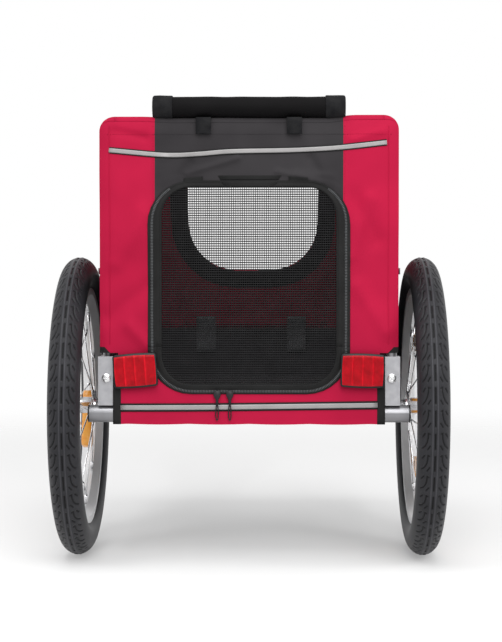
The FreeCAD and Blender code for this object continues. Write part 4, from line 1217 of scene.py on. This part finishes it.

# %% [markdown]
# ## Reflectors and zip sliders
# Each tail reflector is a thin black tray with a ribbed red prism in it, sewn on slightly askew. A flat
# box would mirror one grey; ribs break the light into bright strokes, and painted highlights along them
# brighten the strokes. The sliders are moulded plates too.

# %% Plates with rounded edges
def outward(piece):
    """Turns a closed mesh's faces outwards."""
    solid = bmesh.new()
    solid.from_mesh(piece.data)
    bmesh.ops.recalc_face_normals(solid, faces=solid.faces)
    solid.to_mesh(piece.data)
    solid.free()
    return piece


def slab(name, outline, front, back, finish, edge):
    """A plate with rounded edges, cut to an outline of (x, z) and running from front to back."""
    count = len(outline)
    corners = [Vector(corner) for corner in outline]
    middle = sum(corners, Vector((0, 0))) / count
    rows = []
    for y, inward in ((front, edge), (front + edge, 0), (back - edge, 0), (back, edge)):
        kept = [corner - (corner - middle).normalized() * inward for corner in corners]
        rows.append([(corner.x, y, corner.y) for corner in kept])
    points, faces = woven(rows, True)
    faces += [tuple(range(count)), tuple(range(len(points) - count, len(points)))]
    return outward(show(name, points, faces, finish))


def turned(x, z, angle):
    """A place turned by an angle about the origin."""
    return x * math.cos(angle) - z * math.sin(angle), x * math.sin(angle) + z * math.cos(angle)


def set_painted_light(piece, painted_levels):
    """Writes the painted light and shade at every point of a piece, as a scale on its colour."""
    piece.data.attributes.new("wear", "FLOAT", "POINT").data.foreach_set("value", painted_levels)
    return piece


print("a quarter turn of one to the right:", [round(value) for value in turned(1, 0, math.pi / 2)])

# %% Zip sliders and pulls
SLIDER_FACE = REAR_Y - 2.2 * MM
SLIDER_DEPTH = 2.6 * MM
SLIDER_EDGE = 0.7 * MM
# Half of the slider's shield shape, from its top down: out from its middle, and height, in mm.
SLIDER_HALF = [(0, 230), (3, 229.5), (4.6, 227), (4.6, 223.5), (3, 220.5), (1.7, 218), (1.7, 214),
               (0, 213.2)]
PULL_TOP = 213.5 * MM
PULL_LENGTH = 21 * MM
PULL_HALF = 1.1 * MM
PULL_WIDENS = 0.9 * MM
PULL_WIRE = 0.75 * MM
PULL_STEPS = 28


def slider(name, x):
    """A zip slider: a shield-shaped body over the coil and the neck that holds the pull."""
    outline = [(x + u * MM, z * MM) for u, z in SLIDER_HALF]
    outline += [(x - u * MM, z * MM) for u, z in SLIDER_HALF[-2:0:-1]]
    return slab(name, outline, SLIDER_FACE - SLIDER_DEPTH, SLIDER_FACE, PLASTIC, SLIDER_EDGE)


def pull(name, x, y):
    """A wire loop that hangs from the slider's neck, wider at its lower end."""
    path = []
    for turn in spread(0, math.tau, PULL_STEPS)[:-1]:
        low = (1 - math.cos(turn)) / 2
        path.append((x + (PULL_HALF + PULL_WIDENS * low) * math.sin(turn), y, PULL_TOP - PULL_LENGTH * low))
    return grown(lines(name, [path], True), CORD, Radius=PULL_WIRE, Material=PLASTIC)


zips = {}
for word in SIDES:
    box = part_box(f"zip_pull_{word}")
    middle = (box[0] + box[1]) / 2
    zips[word] = (slider(f"slider_{word}", middle.x), pull(f"pull_loop_{word}", middle.x, middle.y))
print("zip sliders:", len(zips))

# %% Tail reflectors
ASKEW = {"left": math.radians(4.0), "right": math.radians(-1.5)}
BARREL = 0.06
BULGE = 0.03
TRAY_CORNER = 3 * MM
TRAY_EDGE = 0.8 * MM
LENS_RIBS = 4
RIB_FINENESS = 13
LENS_LINES = 34
LINE_SLANT = 0.8
RIM_FROM = 0.99
LENS_BACK = 0.9 * MM
LENS_ROWS = 24
LENS_COLUMNS = 136
# How proud of its rim the lens is: its plain face, a rib, a fine line, and the slope between two ribs.
LENS_FACE = 0.4 * MM
RIB_PROUD = 0.9 * MM
LINE_PROUD = 0.9 * MM
SLOPE = 0.5 * MM
# Painted light on the lens, as shares of its colour: a plain level on its face, and painted highlights on a
# rib, a fine line and its upper and lower ends, which start at a share of its height.
FACE_SHADE = 0.88
RIB_HIGHLIGHT = 0.55
LINE_HIGHLIGHT = 0.35
END_HIGHLIGHT = 0.3
ENDS_FROM = 7 / 8


def from_middle(value):
    """How far a value is from the middle between two whole numbers."""
    return abs(value % 1 - 0.5)


def lens(name, low, high, askew, finish):
    """A barrel-shaped prism plate: upright ribs, cut across by fine slanting ones, with painted highlights
    on them and at its ends.
    """
    middle = (low + high) / 2
    half_x = (high.x - low.x) / 2
    half_z = (high.z - low.z) / 2
    rows = []
    painted_levels = []
    for v in spread(-1, 1, LENS_ROWS):
        row = []
        for u in spread(-1, 1, LENS_COLUMNS):
            x = u * half_x * (1 + BULGE * (1 - v * v))
            z = v * half_z * (1 + BARREL * (1 - u * u))
            at_rib = u * LENS_RIBS / 2
            rib = math.exp(-(from_middle(at_rib + 0.5) * RIB_FINENESS) ** 2)
            fine = from_middle(u * LENS_LINES / 2 + v * LINE_SLANT)
            end = eased((abs(v) - ENDS_FROM) / (1 - ENDS_FROM))
            proud = LENS_FACE + RIB_PROUD * rib + LINE_PROUD * fine + SLOPE * (at_rib % 1)
            if max(abs(u), abs(v)) >= RIM_FROM:
                proud = 0
            across, up = turned(x, z, askew)
            row.append((middle.x + across, low.y + LENS_BACK - proud, middle.z + up))
            # Painted highlights on the ribs, the fine lines and the upper and lower ends.
            painted_levels.append(FACE_SHADE + RIB_HIGHLIGHT * rib + LINE_HIGHLIGHT * fine + END_HIGHLIGHT * end)
        rows.append(row)
    return set_painted_light(tailor(show(name, *woven(rows), finish), REARWARD), painted_levels)


def tray(name, low, high, askew):
    """The black tray round a lens, barrel-shaped as the lens is."""
    middle = (low + high) / 2
    half = (high.x - low.x) / 2
    rise = (high.z - low.z) / 2
    outline = []
    for x, z in rounded(half, -rise, rise, TRAY_CORNER, side=10, corner=4):
        across, up = turned(x, z * (1 + BARREL * (1 - (x / half) ** 2)), askew)
        outline.append((middle.x + across, middle.z + up))
    return slab(name, outline, low.y, high.y, PLASTIC, TRAY_EDGE)


tail_reflectors = {}
for word, askew in ASKEW.items():
    tail_reflectors[word] = [
        tray(f"reflector_tray_{word}", *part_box(f"reflector_housing_{word}"), askew),
        lens(f"reflector_prism_{word}", *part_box(f"reflector_lens_{word}"), askew, LENS_RED)]
print("tail reflectors:", len(tail_reflectors))

# %% [markdown]
# ## Wheels
# The tyre's tread repeats about every 28 mm: a dashed rib between two fine lines, and on each side a
# curved groove with two short dashes. One slice of tyre is cut with these grooves and set round the axle
# by the wheel tree, which also lays the crossed spokes.

# %% Tyres
TREAD_COUNT = 44
TYRE_HALF = (wheel_box[1].x - wheel_box[0].x) / 2
TYRE_RISE = 23.3 * MM
TREAD_SPAN = 0.95
GROOVE_DEPTH = 1.3 * MM
GROOVE_WIDTH = 1.3 * MM
LINE_AT = 3.4 * MM
LINE_WIDTH = 1.0 * MM
LINE_HEIGHT = 0.5 * MM
# Painted shade in the grooves and painted highlight on the raised lines, as shares of the rubber's colour.
GROOVE_SHADE = 0.85
LINE_GLEAM = 1.6
TYRE_WELD = 0.02 * MM
TREAD_STEPS = 26
# Degrees from the crown: fine steps over the tread, and wide ones down the walls to the beads.
TREAD_ANGLES = spread(-67, 67, 66)
WALL_ANGLES = spread(70, 150, 8)
# Grooves of one pitch in mm, across and along the tread.
SIDE_GROOVES = [[(7.5, 9.5), (10, 10.5), (10.2, 5), (11.5, -1), (14.5, -6.5), (19, -10)],
                [(7, -5.5), (10.5, -10.5)], [(15, 9.5), (18.5, 5)]]
DASH = [(0, -9.5), (0, 9.5)]


def tread(across, along):
    """How deep the tread is cut at a place, as a share, and how far a raised line stands there."""
    place = Vector((abs(across), along))
    gap = min(off_line(place, line) for line in SIDE_GROOVES)
    cut = max(0, 1 - (gap / GROOVE_WIDTH) ** 2)
    cut = max(cut, 1 - (off_line(place, DASH) / GROOVE_WIDTH) ** 4)
    return cut, max(0, 1 - abs(abs(across) - LINE_AT) / LINE_WIDTH)


def tyre_slice(name):
    """One pitch of the tyre round the origin, from bead to bead and closed under the rim's flanges."""
    pitch = math.tau / TREAD_COUNT
    angles = [-angle for angle in WALL_ANGLES[::-1]] + TREAD_ANGLES + WALL_ANGLES
    rows = []
    painted_levels = []
    for turn in spread(-pitch / 2, pitch / 2, TREAD_STEPS):
        row = []
        for a in map(math.radians, angles):
            cut, raised = tread(a * TYRE_RISE * TREAD_SPAN, turn * WHEEL_R)
            sunk = GROOVE_DEPTH * cut + LINE_HEIGHT * (1 - raised)
            radius = WHEEL_R - TYRE_RISE + (TYRE_RISE - sunk) * math.cos(a)
            row.append(((TYRE_HALF - sunk) * math.sin(a), radius * math.sin(turn), radius * math.cos(turn)))
            # Painted shade where the tread is cut, painted highlight on the raised lines.
            painted_levels.append(1 - GROOVE_SHADE * cut + LINE_GLEAM * raised)
        rows.append(row)
    return set_painted_light(show(name, *woven(rows, True)), painted_levels)


centres = {word: (sign * WHEEL_X, AXLE_Y, WHEEL_R) for word, sign in SIDES.items()}
tyres = {}
for word, centre in centres.items():
    tyres[word] = outward(grown(tyre_slice(f"tyre_tread_{word}"), WHEEL, Count=TREAD_COUNT, Centre=centre,
                                Weld=TYRE_WELD, Material=RUBBER))
print("tyre:", len(tyres["left"].data.polygons), "faces each")

# %% Spokes
SPOKE_R = (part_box("spokes_right")[1].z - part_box("spokes_right")[0].z) / 2
SPOKE_WIRE = 1.0 * MM
NIPPLE_WIRE = 2.0 * MM
NIPPLE_SHARE = 0.1
HUB_HOLES = 17 * MM
FLANGE_X = 18 * MM
RIM_X = 3 * MM
SPOKE_GROUPS = 5
SPOKES_EACH = 4
CROSSING = math.radians(48)


def stick(start, stop, radius, sides=8):
    """A round rod between two places, as points and faces."""
    along = (stop - start).normalized()
    side = along.orthogonal().normalized()
    up = along.cross(side)
    ring = [(side * math.cos(turn) + up * math.sin(turn)) * radius
            for turn in spread(0, math.tau, sides)[:-1]]
    points, faces = woven([[place + corner for corner in ring] for place in (start, stop)], True)
    faces += [tuple(range(sides)), tuple(range(sides, 2 * sides))]
    return points, faces


def spoke_group(name):
    """Four spokes and their nipples, to and fro on both flanges, round the origin."""
    points = []
    faces = []
    for i in range(SPOKES_EACH):
        flange = 1 if i % 2 else -1
        swing = CROSSING if i < SPOKES_EACH / 2 else -CROSSING
        at_rim = math.tau * (i + 0.5) / (SPOKE_GROUPS * SPOKES_EACH)
        at_hub = at_rim + swing
        hub = Vector((flange * FLANGE_X, HUB_HOLES * math.sin(at_hub), HUB_HOLES * math.cos(at_hub)))
        rim = Vector((flange * RIM_X, SPOKE_R * math.sin(at_rim), SPOKE_R * math.cos(at_rim)))
        nipple = rim.lerp(hub, NIPPLE_SHARE)
        for start, stop, radius in ((hub, rim, SPOKE_WIRE), (nipple, rim, NIPPLE_WIRE)):
            more, sides = stick(start, stop, radius)
            faces += [tuple(len(points) + corner for corner in face) for face in sides]
            points += more
    return show(name, points, faces)


laced = {}
for word, centre in centres.items():
    laced[word] = outward(grown(spoke_group(f"laced_spokes_{word}"), WHEEL, Count=SPOKE_GROUPS,
                                Centre=centre, Weld=0.0, Material=CHROME))
print("spokes:", SPOKE_GROUPS * SPOKES_EACH, "on each wheel")

# %% Spoke reflectors
REFLECTOR_TURNS = {"left": math.radians(-108), "right": 0}
BLOCK_HEIGHT = 24 * MM
BLOCK_CORNER = 8 * MM
BLOCK_EDGE = 1.5 * MM
BLOCKS_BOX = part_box("spoke_reflectors_right")
BLOCK_LOWS = {"low": BLOCKS_BOX[0].z, "high": BLOCKS_BOX[1].z - BLOCK_HEIGHT}


def spoke_reflector(name, centre, low, high, angle):
    """An amber prism block clipped across the spokes: rounded ends and a bevelled face."""
    half = (BLOCKS_BOX[1].y - BLOCKS_BOX[0].y) / 2
    depth = (BLOCKS_BOX[1].x - BLOCKS_BOX[0].x) / 2
    outline = rounded(half, low, high, BLOCK_CORNER, side=8, corner=5)
    block = slab(name, outline, -depth, depth, LENS_AMBER, BLOCK_EDGE)
    for corner in block.data.vertices:
        along, up = turned(corner.co.x, corner.co.z - WHEEL_R, angle)
        corner.co = Vector(centre) + Vector((-corner.co.y, along, up))
    return outward(block)


blocks = {}
for word, centre in centres.items():
    blocks[word] = [spoke_reflector(f"spoke_reflector_{word}_{end}", centre, low, low + BLOCK_HEIGHT,
                                    REFLECTOR_TURNS[word]) for end, low in BLOCK_LOWS.items()]
print("spoke reflectors:", sum(len(pair) for pair in blocks.values()))

# %% [markdown]
# ## Small hardware
# The fold bolts have domed heads with a cross recess. Two grey straps hang inside on the front wall and
# show as pale shapes through the net.

# %% Bolt heads and straps
HEAD_R = 5.4 * MM
HEAD_TIP = 0.02 * MM
HEAD_DOME = 1.6 * MM
CROSS_DEPTH = 1.3 * MM
CROSS_ARM = 0.75 * MM
CROSS_REACH = 3.0 * MM
HEAD_RINGS = 16
HEAD_STEPS = 64
STRAP_X = {"left": -76 * MM, "right": 68 * MM}
STRAP_ENDS = (252 * MM, 309 * MM)
STRAP_WIDTH = 30 * MM
STRAP_GAP = 4.5 * MM
STRAP_STEPS = 8


def bolt_head(end, word):
    """A domed cap with a cross pressed into it, over the plain head of a fold bolt."""
    low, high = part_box(f"pivot_bolt_{end}_{word}")
    facing = -1 if end == "rear" else 1
    y = low.y if end == "rear" else high.y
    middle = (low + high) / 2
    rows = []
    for r in spread(HEAD_R, HEAD_TIP, HEAD_RINGS):
        dome = HEAD_DOME * (1 - (r / HEAD_R) ** 2)
        row = []
        for turn in spread(0, math.tau, HEAD_STEPS)[:-1]:
            u, v = r * math.cos(turn), r * math.sin(turn)
            recess = CROSS_DEPTH if min(abs(u), abs(v)) < CROSS_ARM and r < CROSS_REACH else 0
            row.append((middle.x + u, y + facing * (dome - recess), middle.z + v))
        rows.append(row)
    return tailor(show(f"bolt_head_{end}_{word}", *woven(rows, True), BOLT), (0, facing, 0))


bolt_heads = [bolt_head(end, word) for end in ("rear", "front") for word in SIDES]
straps = []
for word, x in STRAP_X.items():
    path = [(front_wall(x, z) - STRAP_GAP, z) for z in spread(*STRAP_ENDS, STRAP_STEPS)]
    straps.append(patch(f"inner_strap_{word}", path, x, STRAP_WIDTH, WEBBING))
print("bolt heads:", len(bolt_heads), "straps:", len(straps))

# %% [markdown]
# ## What moves with what
# Every piece is tied to the body that carries it. Cloth that spans the fold can't turn with one hoop,
# so each such piece is given a mesh of its own.

# %% Tie the pieces to their bodies
def settle(body, slot, pieces, *nodes):
    """Ties pieces to a body and lets them stand for the named solids, which it hides. The slot is not used.
    """
    for piece in pieces:
        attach(piece, body)
    if nodes:
        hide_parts(*nodes)


def parted(piece):
    """Splits a piece of the door at the fold line; the piece keeps its upper part, a new one the lower."""
    lower = piece.copy()
    lower.data = piece.data.copy()
    lower.name = f"{piece.name}_lower"
    bpy.context.scene.collection.objects.link(lower)
    tailor(piece, (0, 0, 0), fold_cut, lambda x, y, z: z > FOLD_Z)
    return tailor(lower, (0, 0, 0), fold_cut, lambda x, y, z: z < FOLD_Z)


settle("frame", "red_fabric", [rear_upper, rear_lower], "rear_panel")
settle("frame", "red_fabric", [front_upper], "front_panel")
settle("frame", "black_fabric", [front_lower, hatch_binding, *straps, *bindings, *zip_ends, black_stitches,
                                 *stripes["upper"], *stripes["lower"], header])
settle("frame", "red_fabric", [rear_strip, front_strip, wall_stitches, wall_piping])
settle("roof", "red_fabric", [roof_cloth], "roof_panel")
settle("roof", "black_fabric", [roll_cloth, *roll_bands], "cover_roll")
door_tapes = [door_border, zip_coil, border_stitches]
door_nets = [door_net, net_weft]
lower_tapes = [parted(piece) for piece in door_tapes]
lower_nets = [parted(piece) for piece in door_nets]
settle("rear_door", "black_fabric", [*door_tapes, door_flap, *lower_tapes], "door_border")
settle("rear_door", "net", [*door_nets, *lower_nets], "door_net")
settle("frame", "bolt_steel", bolt_heads)
for word in SIDES:
    wall, tape, edge = side_walls[word]
    housing, prism = tail_reflectors[word]
    shield, loop = zips[word]
    settle(f"{word}_side", "red_fabric", [wall, tape], f"side_panel_{word}")
    settle("frame", "black_fabric", [edge], f"side_skirt_{word}")
    settle("roof", "black_fabric", [tabs[word]], f"cover_tab_{word}")
    settle("frame", "black_plastic", [housing], f"reflector_housing_{word}")
    settle("frame", "red_lens", [prism], f"reflector_lens_{word}")
    settle(f"zip_{word}", "black_plastic", [shield], f"zip_slider_{word}")
    settle(f"pull_{word}", "black_plastic", [loop], f"zip_pull_{word}")
    settle(f"wheel_{word}", "tyre_rubber", [tyres[word]], f"tyre_{word}")
    settle(f"wheel_{word}", "chrome", [laced[word]], f"spokes_{word}")
    settle(f"wheel_{word}", "amber_lens", blocks[word], f"spoke_reflectors_{word}")


def gather(pieces):
    """Gives each piece a mesh of its own."""
    for piece in pieces:
        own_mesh(piece)


rear_trim = [wall_stitches, black_stitches, wall_piping, *stripes["upper"], *zip_ends, header, rear_strip]
front_trim = [hatch_binding, *straps, front_strip]
gather([rear_upper, *rear_trim])
gather([front_upper, *front_trim])
gather([*door_tapes, *door_nets, door_flap])
gather([*lower_tapes, *lower_nets])
print("trim that gathers with the walls:", len(rear_trim) + len(front_trim))

# %% [markdown]
# ## Cloth as it was cut
# For every sheet the flat size before sewing is written down, so that a later solver can start from it.


for word in SIDES:
    wall, tape, edge = side_walls[word]
    low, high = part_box(f"side_panel_{word}")
